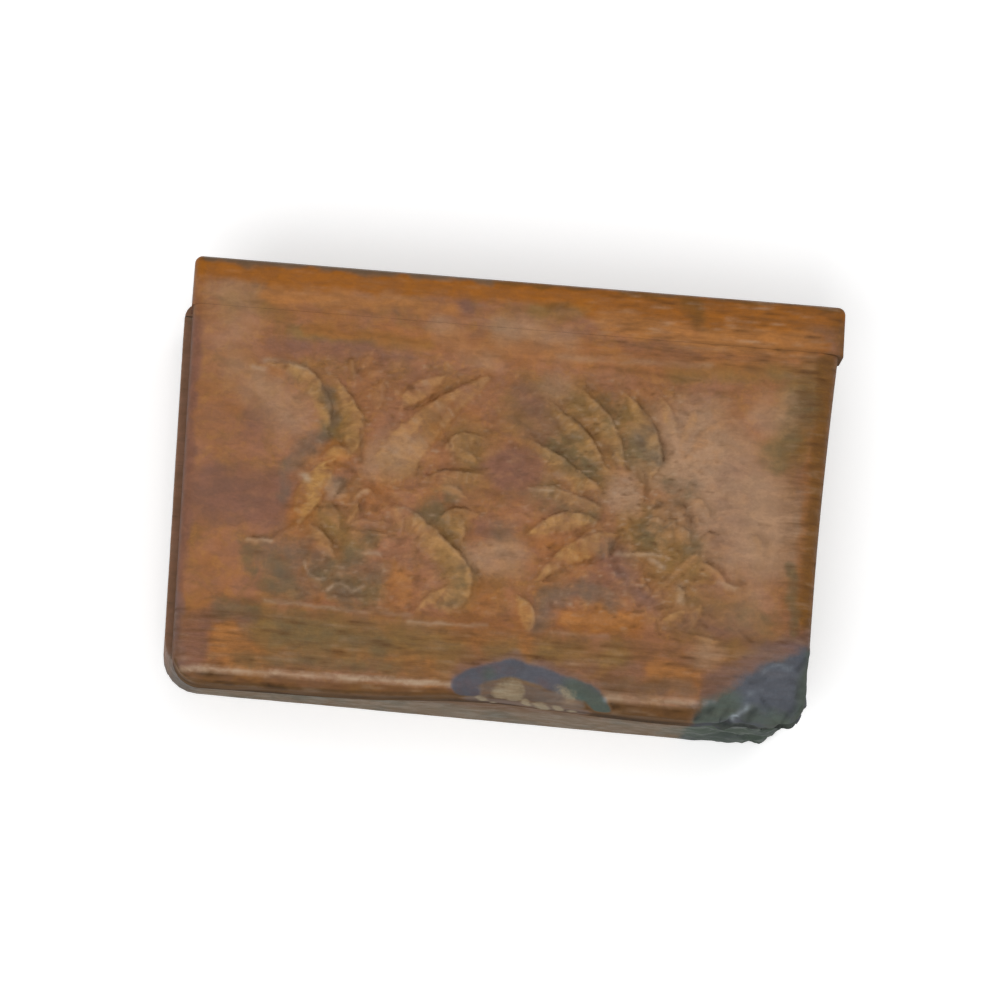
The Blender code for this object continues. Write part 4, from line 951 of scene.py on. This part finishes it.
def carve(points):
    # heights of the relief above the field's floor, and where it is raised, golden, cut (dark: dirt in the
    # grooves, painted shade in the small hollows) or crested (pale: wear and painted highlights)
    flat = warped(points[:, :2], 0.28)
    flat += np.stack([bumps(points, 0.9, 2, seed) for seed in (43.0, 51.0)], 1) * relief["waver"]
    height, rise, gold, cut, crest = (np.zeros(len(flat)) for _ in range(5))
    shade = np.array((0.50, 0.86))      # each leaf's high edge and the groove behind it lie this way
    grit = bumps(points, 1.5, 2, 11.0)
    loss = np.clip(0.85 + 1.3 * bumps(points, 2.4, 2, 61.0), 0.15, 1.2)      # where the carving is worn off
    centre = np.array(flower["centre"])
    strokes = list(leaves)
    for petal in range(flower["petals"]):
        turn = math.tau * (petal + 0.2) / flower["petals"]
        way = np.array((math.cos(turn), math.sin(turn)))
        strokes.append(("petal", flower["width"], flower["lift"], flower["golden"],
                        centre + way * flower["start"], centre + way * flower["reach"]))
    for kind, width, lift, golden, *path in strokes:
        chosen, line, distance, travel, way, length = closeTo(flat, path, width / 2 + 2.0)
        half = leafHalf(kind, travel, width)
        lean = (way @ shade) * unit(distance / half)
        over = distance - half
        soft = 0.60 - 0.16 * lean
        inside = 1 - ease(-soft, soft * 0.7, over)
        top = lift * (0.66 + 0.34 * lean) * (0.74 + 0.26 * np.sin(np.pi * travel))
        top += relief["grit"] * grit[chosen]
        across = distance * np.sign(way @ shade)
        places = (travel * length / relief["ribLength"], across / relief["ribWidth"],
                  np.full(len(chosen), len(line) + length))
        ribs = bumps(np.stack(places, 1), 1.0, 2, 3.0) * inside * ease(1.4, 3.2, width)
        top += relief["ribs"] * ribs
        height[chosen] = height[chosen] * (1 - inside) + (top + 0.2 * np.maximum(height[chosen], 0)) * inside
        groove = np.exp(-((over - relief["grooveAt"]) / relief["grooveWidth"]) ** 2)
        groove *= unit(1.15 * lean + 0.12)
        groove *= 0.55 + 0.45 * unit(1.4 * np.sin(np.pi * unit(travel)) + 0.3)
        groove *= unit(loss[chosen])
        height[chosen] -= relief["grooveDepth"] * groove * (1 - 0.6 * inside)
        # dirt in the groove, and painted shade in the hollows between the ribs
        dark = np.maximum(groove * relief["grooveDark"] * (1 - 0.7 * inside), unit(-ribs - 0.12) * 0.6)
        cut[chosen] = np.maximum(cut[chosen] * (1 - inside), dark)
        rise[chosen] = np.maximum(rise[chosen] * (1 - inside), inside * (0.80 + 0.20 * lean) * loss[chosen])
        gold[chosen] = gold[chosen] * (1 - inside) + golden * inside
        # painted highlight just inside each leaf's high edge and on the tops of its ribs
        bright = np.exp(-((over + 0.42) / 0.34) ** 2) * unit(lean) * unit(0.5 + grit[chosen])
        bright = np.maximum(bright * 0.5, unit(ribs - 0.2) * 0.5)
        crest[chosen] = np.maximum(crest[chosen] * (1 - inside), bright)
    far = np.hypot(*(flat - centre).T)
    knob = 1 - ease(flower["knob"] * 0.6, flower["knob"] * 1.2, far)
    height = height * (1 - knob) + knob * (flower["lift"] * 1.1 - 0.10 * far ** 2)
    cut = np.maximum(cut, flower["knobRing"] * np.exp(-((far - flower["knob"] * 1.2) / 0.3) ** 2))
    for x, y, radius, lift in lumps:
        far = np.hypot(flat[:, 0] - x, flat[:, 1] - y) / radius
        bulge = unit(1 - far * far)
        height += lift * bulge
        rise = np.maximum(rise, 0.35 * bulge)
        cut = np.maximum(cut, relief["lumpRing"] * np.exp(-((far - 1.15) / 0.3) ** 2) * (y > -30))
    for width, depth, dark, *path in cuts:
        chosen, line, distance, travel, *more = closeTo(flat, path, width + 0.8)
        half = width / 2 * unit(np.minimum(travel, 1 - travel) * 5 + 0.35)
        groove = np.exp(-(distance / (half * 1.15)) ** 2) * unit(loss[chosen] + 0.15)
        height[chosen] -= depth * 0.7 * groove
        stain = 0.75 * dark * groove * np.clip(0.85 + 0.5 * grit[chosen], 0.3, 1)
        cut[chosen] = np.maximum(cut[chosen], stain)
        rise[chosen] *= 1 - groove
    # the pale lines: painted highlights, partly worn edges
    for width, strength, *path in glints:
        chosen, line, distance, *more = closeTo(flat, path, width + 0.8)
        broken = unit(0.8 + (1.4 - strength) * bumps(points[chosen] * (0.35, 1, 1), 1.8, 2, 14.0))
        pale = strength * np.exp(-(distance / width * 1.6) ** 2) * broken
        crest[chosen] = np.maximum(crest[chosen], pale)
    return height, rise, gold, cut, crest


def drift(points):
    # slow unevenness that the board and the rail share, so that they meet level
    return bumps(points * (1, 1, 0), 15.0, 2, 9.0) * 0.10 + bumps(points * (1, 1, 0), 4.5, 2, 2.0) * 0.03


def gouges(points):
    # short wavy tool marks along the length
    return bumps(points * (0.16, 1, 0), 0.95, 3, 17.0)


def lidHeight(x, y, shift):
    # every height on top of the lid but its rounded edge, and the masks that go with it
    points = np.stack([x, y + shift, np.zeros(len(x))], 1)
    left, right = sideLines(y)
    share = (x - lid["leftBack"]) / (lid["rightBack"] - lid["leftBack"])
    past = y - lid["front"] - lid["ridgeLeft"] - (lid["ridgeRight"] - lid["ridgeLeft"]) * share
    behind = lid["joint"] - lid["backLeft"] - (lid["backRight"] - lid["backLeft"]) * share - y
    sink = ease(0, lid["sideCove"], x - left - lid["borderLeft"])
    sink = sink * ease(0, lid["sideCove"], right - lid["borderRight"] - x)
    sink = sink * ease(0, lid["backCove"], behind) * ease(0, lid["frontCove"], past)
    z = lid["top"] - lid["fieldDepth"] * sink
    z -= lid["frontFall"] * np.clip(-past, 0, None) / lid["ridgeLeft"]
    z -= lid["rightFall"] * ease(4.6, 0, right - x) * ease(lid["front"], lid["front"] + 6, y)
    height, rise, gold, cut, crest = carve(points)
    spray = ease(30.0, 8.0, np.abs(x + 22)) + ease(34.0, 8.0, np.abs(x - 22))
    spray = unit(spray) * sink * (1 - 0.7 * rise)
    z += height * unit(sink * 1.4 + (y < -30))
    folds = bumps(points * (1, 1.5, 1), 2.8, 3, 4.0)
    z += folds * relief["folds"] * spray
    # painted shade in the folds' hollows and painted highlight on their tops
    cut = np.maximum(cut, unit(-folds - 0.18) * spray)
    rise = np.maximum(rise, unit(folds - 0.10) * 1.1 * spray)
    ticked = np.exp(-((x - 15) / 11) ** 2 - ((y - 6) / 11) ** 2)
    ticked += np.exp(-((x - 31) / 9) ** 2 - ((y + 9) / 12) ** 2)
    ticks = bumps(points * (0.42, 1.1, 1), 0.72, 2, 27.0) * unit(ticked * 1.3)
    crumbs = bumps(points * (0.7, 1.2, 1), 1.1, 2, 23.0) * spray + ticks
    z += crumbs * relief["crumbs"] + drift(points)
    # painted shade in the hollows of the crumbs and tool ticks, and painted highlight on their tops
    cut = np.maximum(cut, unit(-crumbs - 0.22) * 0.9)
    crest = np.maximum(crest, unit(crumbs - 0.28) * 0.6)
    streak = 0.60 * ease(-25.5, -27.5, y) + 0.55 * ease(49, 53, x) + 0.5 * ease(8, 26, x) * ease(24, 28, y)
    streak = np.clip(streak + 0.14 * ease(24, 28, y), 0, 0.75)
    stained = np.maximum(patchField(points[:, :2], "slate"), inKnot(points[:, :2]))
    streak *= 1 - 0.85 * ease(0.25, 0.6, stained)
    marks = gouges(points)
    z += marks * relief["marks"] * streak
    # painted shade in the tool marks' hollows and painted highlight on their tops
    cut = np.maximum(cut, unit(-marks - 0.12) * 2.4 * streak)
    crest = np.maximum(crest, unit(marks - 0.2) * 0.65 * streak)
    z += relief["frontRidge"] * np.exp(-((past + 0.3) / 0.6) ** 2) * (x > -44) * (x < 28)
    z += relief["rollRidge"] * np.exp(-((y + shift + 37.35) / 0.5) ** 2) * (x < 38)
    return z, {"rise": rise, "gold": gold, "cut": cut, "crest": crest, "streak": streak}


def wearCorner(points, normals, depth=1.0):
    # the worn knot at the front right corner: broad lumps, small chips and a bruised surface
    distance = alongPath(points[:, :2], smoothPath(knot["middle"]))[0]
    share = 1 - ease(2.0, knot["radius"] + 1.0, distance)
    chips = -unit(bumps(points, 3.2, 1, 8.0) - 0.12) * knot["chips"]
    lumpy = bumps(points, 5.0, 2, 3.0) * knot["lumps"] + bumps(points, 2.2, 2, 5.0) * knot["bruises"]
    move = (lumpy + chips - 0.1) * share * depth
    kept = ease(-37.0, -32.5, points[:, 1])      # the right edge stays nearly straight behind the corner
    move = np.where(move < 0, move * (1 - 0.8 * kept), move)
    return points + normals * np.clip(move, knot["inward"], knot["outward"])[:, None]


def lidTop():
    # the top as a grid with its relief and masks
    extra = lid["edge"] * (math.pi / 2 - 1)
    width, depth = lid["rightBack"] - lid["leftBack"] + extra * 2, lid["joint"] - lid["front"] + extra
    lines = (gridLines(width, 13, width - 12), gridLines(depth, 13.6, depth - 3.6))
    bm = bmesh.new()
    bmesh.ops.create_grid(bm, x_segments=len(lines[0]) - 1, y_segments=len(lines[1]) - 1, size=1)
    mesh = fromBmesh(bm, "lidTop")
    grid = read(mesh)
    places = [(grid[:, axis] + 1) / 2 * (len(lines[axis]) - 1) for axis in (0, 1)]
    x, y = shapePlan(*(line[place.round().astype(int)] for line, place in zip(lines, places)))
    shift = np.interp(x, *smoothPath(lid["frontWave"]).T) * ease(-31.0, -38.0, y)
    z, masks = lidHeight(x, y, shift)
    near = np.maximum(lid["edge"] - edgeDistance(x, y), 0)
    drop = lid["edge"] - np.sqrt(np.maximum(lid["edge"] ** 2 - near ** 2, 0))
    writePoints(mesh, np.stack([x, y + shift, z - drop], 1))
    for name, values in masks.items():
        addMask(mesh, name, values)
    return mesh, list(masks)


def buildLid(lacquerLook, insideLook):
    top, masks = lidTop()
    bm, rim = opened(top)
    under = lid["under"] * mm
    for row in range(lid["rows"], 0, -1):
        rim, verts = extruded(bm, rim)
        for vert in verts:
            vert.co.z += (lid["base"] * mm + under - vert.co.z) / row
    rim, verts = extruded(bm, rim)
    for vert in verts:
        vert.co.x -= math.copysign(under, vert.co.x) * (abs(vert.co.x) > 57 * mm)
        vert.co.y += under * (vert.co.y < -38 * mm)
        vert.co.z = lid["base"] * mm
    mesh = closed(bm, rim, "carvedLid")
    print("lid grid", len(mesh.vertices))

    points = readPoints(mesh)
    moved = wearCorner(points, read(mesh, "normal"))
    writePoints(mesh, np.where(points[:, 2:] < lid["base"] + 0.05, points, moved))
    mesh = cutOut(mesh, *hingeCutters())
    paintPatches(mesh)
    points, normals = readPoints(mesh), read(mesh, "normal")
    x, y, z = points.T
    ahead = normals[:, 1] < -0.3
    # painted shade on the faces turned to the front and sides, and on a band just below the front highlight
    side = np.where(ahead, ease(0.9, 0.4, normals[:, 2]), 0.8 * ease(0.7, 0.1, normals[:, 2]))
    addMask(mesh, "side", np.maximum(side, (0.6 + 0.3 * ease(14, 24, x)) * ease(-37.6, -38.3, y)))
    # painted shade: the lid's front face darkens towards its lower edge by the seam, more towards the right
    uneven = np.clip(0.65 + 1.2 * bumps(points * (0.35, 1, 1), 3.0, 2, 12.0), 0.1, 1)
    foot = ease(23.5, 19.4, z) * uneven + 0.9 * ease(19.6, 18.8, z)
    foot = (foot + 0.4 * ease(23.4, 20.6, z) * ease(14, 22, x)) * ahead
    for name in masks:
        values = readMask(mesh, name) * ease(21.5, 24.2, z)
        addMask(mesh, name, unit(np.maximum(values, foot)) if name == "cut" else values)
    print("lid carved", len(mesh.polygons))
    addPiece("carvedLid", mesh, "lid", "lid_board", lacquerLook, 40)
    mesh.materials.append(insideLook)
    for face in mesh.polygons:
        face.material_index = int(face.normal.z < -0.9 and face.center.z < (lid["base"] + 1) * mm)


room = {"side": 0.3, "back": 4.0, "below": 1.0, "above": 0.75, "screw": 0.8, "screwEnds": 0.6}


def hingeCutters():
    # room for the hinge leaves and screws that the CAD nodes hold, as two meshes
    pockets, holes = bmesh.new(), bmesh.new()
    for hand in ("left", "right"):
        low, high = (Vector(corner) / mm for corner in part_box(f"{hand}_hinge_lid_leaf"))
        low = Vector((low.x - room["side"], low.y - room["side"], lid["base"] - room["below"])) * mm
        high = Vector((high.x + room["side"], high.y + room["back"], lid["base"] + room["above"])) * mm
        size = Matrix.Diagonal((*(high - low), 1))
        bmesh.ops.create_cube(pockets, size=1, matrix=Matrix.Translation((low + high) / 2) @ size)
        for number in (1, 2):
            low, high = (Vector(corner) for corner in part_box(f"{hand}_lid_screw_{number}"))
            bmesh.ops.create_cone(
                holes, cap_ends=True, segments=12, radius1=room["screw"] * mm, radius2=room["screw"] * mm,
                depth=high.z - low.z + room["screwEnds"] * mm, matrix=Matrix.Translation((low + high) / 2))
    return fromBmesh(pockets, "pockets"), fromBmesh(holes, "screwHoles")


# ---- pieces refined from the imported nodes

def halve(bm, faces, planes, axis):
    # cuts faces by many parallel planes, the middle plane first
    if not planes:
        return
    middle = len(planes) // 2
    geometry = set(faces)
    for face in faces:
        geometry.update((*face.verts, *face.edges))
    origin, direction = Vector(), Vector()
    origin[axis], direction[axis] = planes[middle], 1
    result = bmesh.ops.bisect_plane(bm, geom=list(geometry), dist=1e-7, plane_co=origin, plane_no=direction)
    parts = ([], [])
    for item in result["geom"]:
        if isinstance(item, bmesh.types.BMFace):
            parts[item.calc_center_median()[axis] >= planes[middle]].append(item)
    halve(bm, parts[0], planes[:middle], axis)
    halve(bm, parts[1], planes[middle + 1:], axis)


def diced(nodeName, steps):
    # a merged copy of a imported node's mesh, cut into small faces
    bm = bmesh.new()
    bm.from_mesh(bpy.data.objects[nodeName].data)
    bmesh.ops.remove_doubles(bm, verts=bm.verts, dist=1e-6)
    bmesh.ops.dissolve_limit(bm, angle_limit=math.radians(1), verts=bm.verts, edges=bm.edges)
    for axis, step in enumerate(steps):
        places = [vert.co[axis] for vert in bm.verts]
        low, high = min(places), max(places)
        count = max(1, round((high - low) / (step * mm)))
        halve(bm, list(bm.faces), [low + (high - low) * index / count for index in range(1, count)], axis)
    return bm


def edgeWear(bm):
    # 1 on sharp edges, 0.35 on the points next to them
    wear = {vert: 0.0 for vert in bm.verts}
    for edge in bm.edges:
        if len(edge.link_faces) == 2 and edge.calc_face_angle(0) > math.radians(30):
            wear.update({vert: 1.0 for vert in edge.verts})
    return [1.0 if wear[vert] else 0.35 * any(wear[edge.other_vert(vert)] for edge in vert.link_edges)
            for vert in bm.verts]


rail = {
    "steps": (0.6, 0.45, 0.55), "close": 0.17,      # close is how far its face moves up to the board
    "rightDrop": 0.5, "streak": 0.14, "moreStreak": 0.32, "seam": 0.5, "shaded": 0.45,
}


def buildRail(lacquerLook):
    mesh = fromBmesh(diced("back_rail", rail["steps"]), "refinedRail")
    points, normals = readPoints(mesh), read(mesh, "normal")
    face = points[:, 1] < lid["joint"] + 0.3
    points[face, 1] -= rail["close"]
    top = ease(25.0, 26.6, points[:, 2])
    marks = gouges(points)
    streak = rail["streak"] + rail["moreStreak"] * ease(8, 26, points[:, 0])
    drop = rail["rightDrop"] * ease(55.5, 60.5, points[:, 0])
    points[:, 2] += (drift(points) - drop + marks * relief["marks"] * streak * ~face) * top
    writePoints(mesh, points)
    seam = np.exp(-((points[:, 1] - lid["joint"]) / 0.35) ** 2) * rail["seam"]
    seam *= ease(29.0, 34.0, points[:, 0])
    # the tool marks: painted highlight on their tops and painted shade in their hollows; a dark line along
    # the joint to the board
    for name, values in (
            ("rise", unit(marks - 0.3) * streak * 0.5), ("gold", np.zeros(len(points))),
            ("cut", np.maximum(seam, unit(-marks - 0.12) * 2.6 * streak * top)),
            ("crest", unit(marks - 0.2) * 1.5 * streak * top), ("streak", streak),
            # painted shade on the rail's upright faces
            ("side", rail["shaded"] * ease(0.45, 0.1, np.abs(normals[:, 2])))):
        addMask(mesh, name, values)
    paintPatches(mesh)
    addPiece("backRail", mesh, "lid", "back_rail", lacquerLook, 34)


# size of the small faces along x, y and z
walls = {
    "front_wall": (0.6, 0.9, 0.6), "right_wall": (0.9, 0.6, 0.6),
    "left_wall": (0.9, 0.9, 0.9), "back_wall": (0.9, 0.9, 0.9),
}
wobble = 0.05        # how uneven their outer faces are


def buildWalls(weatheredLook):
    for name, steps in walls.items():
        bm = diced(name, steps)
        wear = edgeWear(bm)
        mesh = fromBmesh(bm, name + "Refined")
        points, normals = readPoints(mesh), read(mesh, "normal")
        x, y, z = points.T
        outer = np.maximum.reduce([
            ease(-36.5, -37.8, y), ease(53.8, 54.6, x), ease(-58.2, -59.0, x), ease(31.4, 32.0, y)])
        if name == "back_wall":
            outer *= z < 15
        move = (bumps(points, 10.0, 2, 6.0) + 0.5 * bumps(points, 3.0, 2, 1.0)) * wobble * outer
        points = points + normals * move[:, None]
        if name in ("front_wall", "right_wall"):
            points = np.where(outer[:, None] > 0.5, wearCorner(points, normals, 0.8), points)
        points[:, 2] = np.maximum(points[:, 2], 0)
        writePoints(mesh, points)
        x, y, z = points.T
        leftSide = ease(-57.0, -58.6, x)
        ahead = ease(-31.0, -36.5, y) * ease(-50.0, -56.0, x)
        for mask, values in (
                ("crest", np.array(wear) * 0.6), ("plum", leftSide),
                ("rust", unit(0.5 * ease(7.5, 14.0, z) + 0.6 * ease(12.0, 17.6, z))),
                ("shade", np.maximum(leftSide * ease(7.0, 0.5, z) * 0.9, 0.8 * ahead)),
                ("slate", knotField(points))):
            addMask(mesh, mask, values)
        addPiece(name.split("_")[0] + "WallRefined", mesh, "box", name, weatheredLook, 34)
        print(name, len(mesh.polygons))


# ---- felt, screws and the looks of the nodes that stay

felt = {"flat": (0.107, 0.0585), "low": 5.3, "shoulder": 5.75, "top": 6.45, "step": 1.2, "spread": 0.25,
        "wobble": 0.12, "rounded": 0.35}


def buildFelt(feltLook):
    low, high = (Vector(corner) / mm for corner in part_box("base_lining"))
    counts = [round((high[axis] - low[axis]) / felt["step"]) for axis in (0, 1)]
    bm = bmesh.new()
    bmesh.ops.create_grid(bm, x_segments=counts[0], y_segments=counts[1], size=1)
    mesh = fromBmesh(bm, "feltTop")
    grid = read(mesh)
    packed = readPoints(bpy.data.objects["base_lining"].data)
    ways = [np.array((across, ahead, 0)) for ahead in (-1, 1) for across in (-1, 1)]
    corners = [(packed[(packed @ way).argmax()] + way * felt["spread"])[:2] for way in ways]
    s, t = ((grid[:, axis] + 1)[:, None] / 2 for axis in (0, 1))
    front, back = (corners[first] * (1 - s) + corners[first + 1] * s for first in (0, 2))
    points = np.column_stack([front * (1 - t) + back * t, np.full(len(grid), felt["top"])])
    near = 1 - np.abs(grid[:, :2]).max(1)
    points[:, 2] += bumps(points, 16.0, 2, 1.0) * felt["wobble"] - felt["rounded"] * ease(0.03, 0.0, near)
    writePoints(mesh, points)
    bm, rim = opened(mesh)
    for height in (felt["shoulder"], felt["low"]):
        rim, verts = extruded(bm, rim)
        for vert in verts:
            vert.co.z = height * mm
    mesh = closed(bm, rim, "feltLining")
    made = addPiece("feltLining", mesh, "box", "base_lining", feltLook, 60)


screw = {
    "head": 1.2, "edge": 0.1, "bevel": 0.06, "shank": 0.46, "thread": 0.6, "pitch": 0.42, "length": 5.2,
    "slot": 0.28, "slotDepth": 0.35, "turns": (24, -38, 71, 8, -15, 52, -63, 33),
}


def buildScrews(brassLook):
    # one countersunk slotted screw, head up, then a copy at each place
    head, shank, pitch, length = (screw[key] for key in ("head", "shank", "pitch", "length"))
    neck = -screw["edge"] - (head - screw["thread"])
    profile = [(0.0, 0.0), (head - screw["bevel"], 0.0), (head, -screw["bevel"]), (head, -screw["edge"]),
               (shank, neck)]
    z = neck - 0.5
    while z > 1.3 - length:
        profile.extend([(shank, z), (screw["thread"], z - pitch * 0.35), (shank, z - pitch * 0.7)])
        z -= pitch
    profile.extend([(shank * 0.8, 0.9 - length), (0.0, -length)])
    bm = bmesh.new()
    verts = [bm.verts.new((radius * mm, 0, height * mm)) for radius, height in profile]
    edges = [bm.edges.new(pair) for pair in zip(verts, verts[1:])]
    bmesh.ops.spin(
        bm, geom=verts + edges, axis=(0, 0, 1), cent=(0, 0, 0), angle=math.tau, steps=20, use_merge=True)
    bmesh.ops.remove_doubles(bm, verts=bm.verts, dist=1e-6)
    bmesh.ops.recalc_face_normals(bm, faces=bm.faces)
    cutter = bmesh.new()
    size = Matrix.Diagonal((head * 2.4 * mm, screw["slot"] * mm, screw["slotDepth"] * 2 * mm, 1))
    bmesh.ops.create_cube(cutter, size=1, matrix=size)
    slotted = cutOut(fromBmesh(bm, "turnedScrew"), fromBmesh(cutter, "slotCutter"))
    places = [(body, side, hand, number) for body, side in (("box", "body"), ("lid", "lid"))
              for hand in ("left", "right") for number in (1, 2)]
    for (body, side, hand, number), turn in zip(places, screw["turns"]):
        node = f"{hand}_{side}_screw_{number}"
        low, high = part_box(node)
        top, flip = (high[2], 0) if body == "box" else (low[2], math.pi)      # the lid's screws point up
        place = Matrix.Translation(((low[0] + high[0]) / 2, (low[1] + high[1]) / 2, top))
        mesh = slotted.copy()
        mesh.transform(place @ Matrix.Rotation(flip, 4, "X") @ Matrix.Rotation(math.radians(turn), 4, "Z"))
        mesh.update()
        mesh.name = node + "Slotted"
        addPiece(f"{hand}{side.title()}Screw{number}", mesh, body, node, brassLook, 30)


def dressNode(name, material):
    bpy.data.objects[name].data.materials[0] = material


buildCamera()
buildStage()
print("stage ready")
lacquerLook, plainLook = makeLacquer(), makePlainWood()
weatheredLook, feltLook = makeWeathered(), makeFelt()
hingeBrass, screwBrass = makeBrass("hingeBrass", 0.65), makeBrass("screwBrass", 0.40)
print("materials ready")
buildLid(lacquerLook, plainLook)
buildRail(lacquerLook)
buildWalls(weatheredLook)
buildFelt(feltLook)
buildScrews(screwBrass)
dressNode("bottom_panel", plainLook)
for hand in ("left", "right"):
    for part in ("hinge_pin", "hinge_body_leaf", "hinge_lid_leaf"):
        dressNode(f"{hand}_{part}", hingeBrass)
scene.view_settings.view_transform = "Standard"
print("pieces ready")
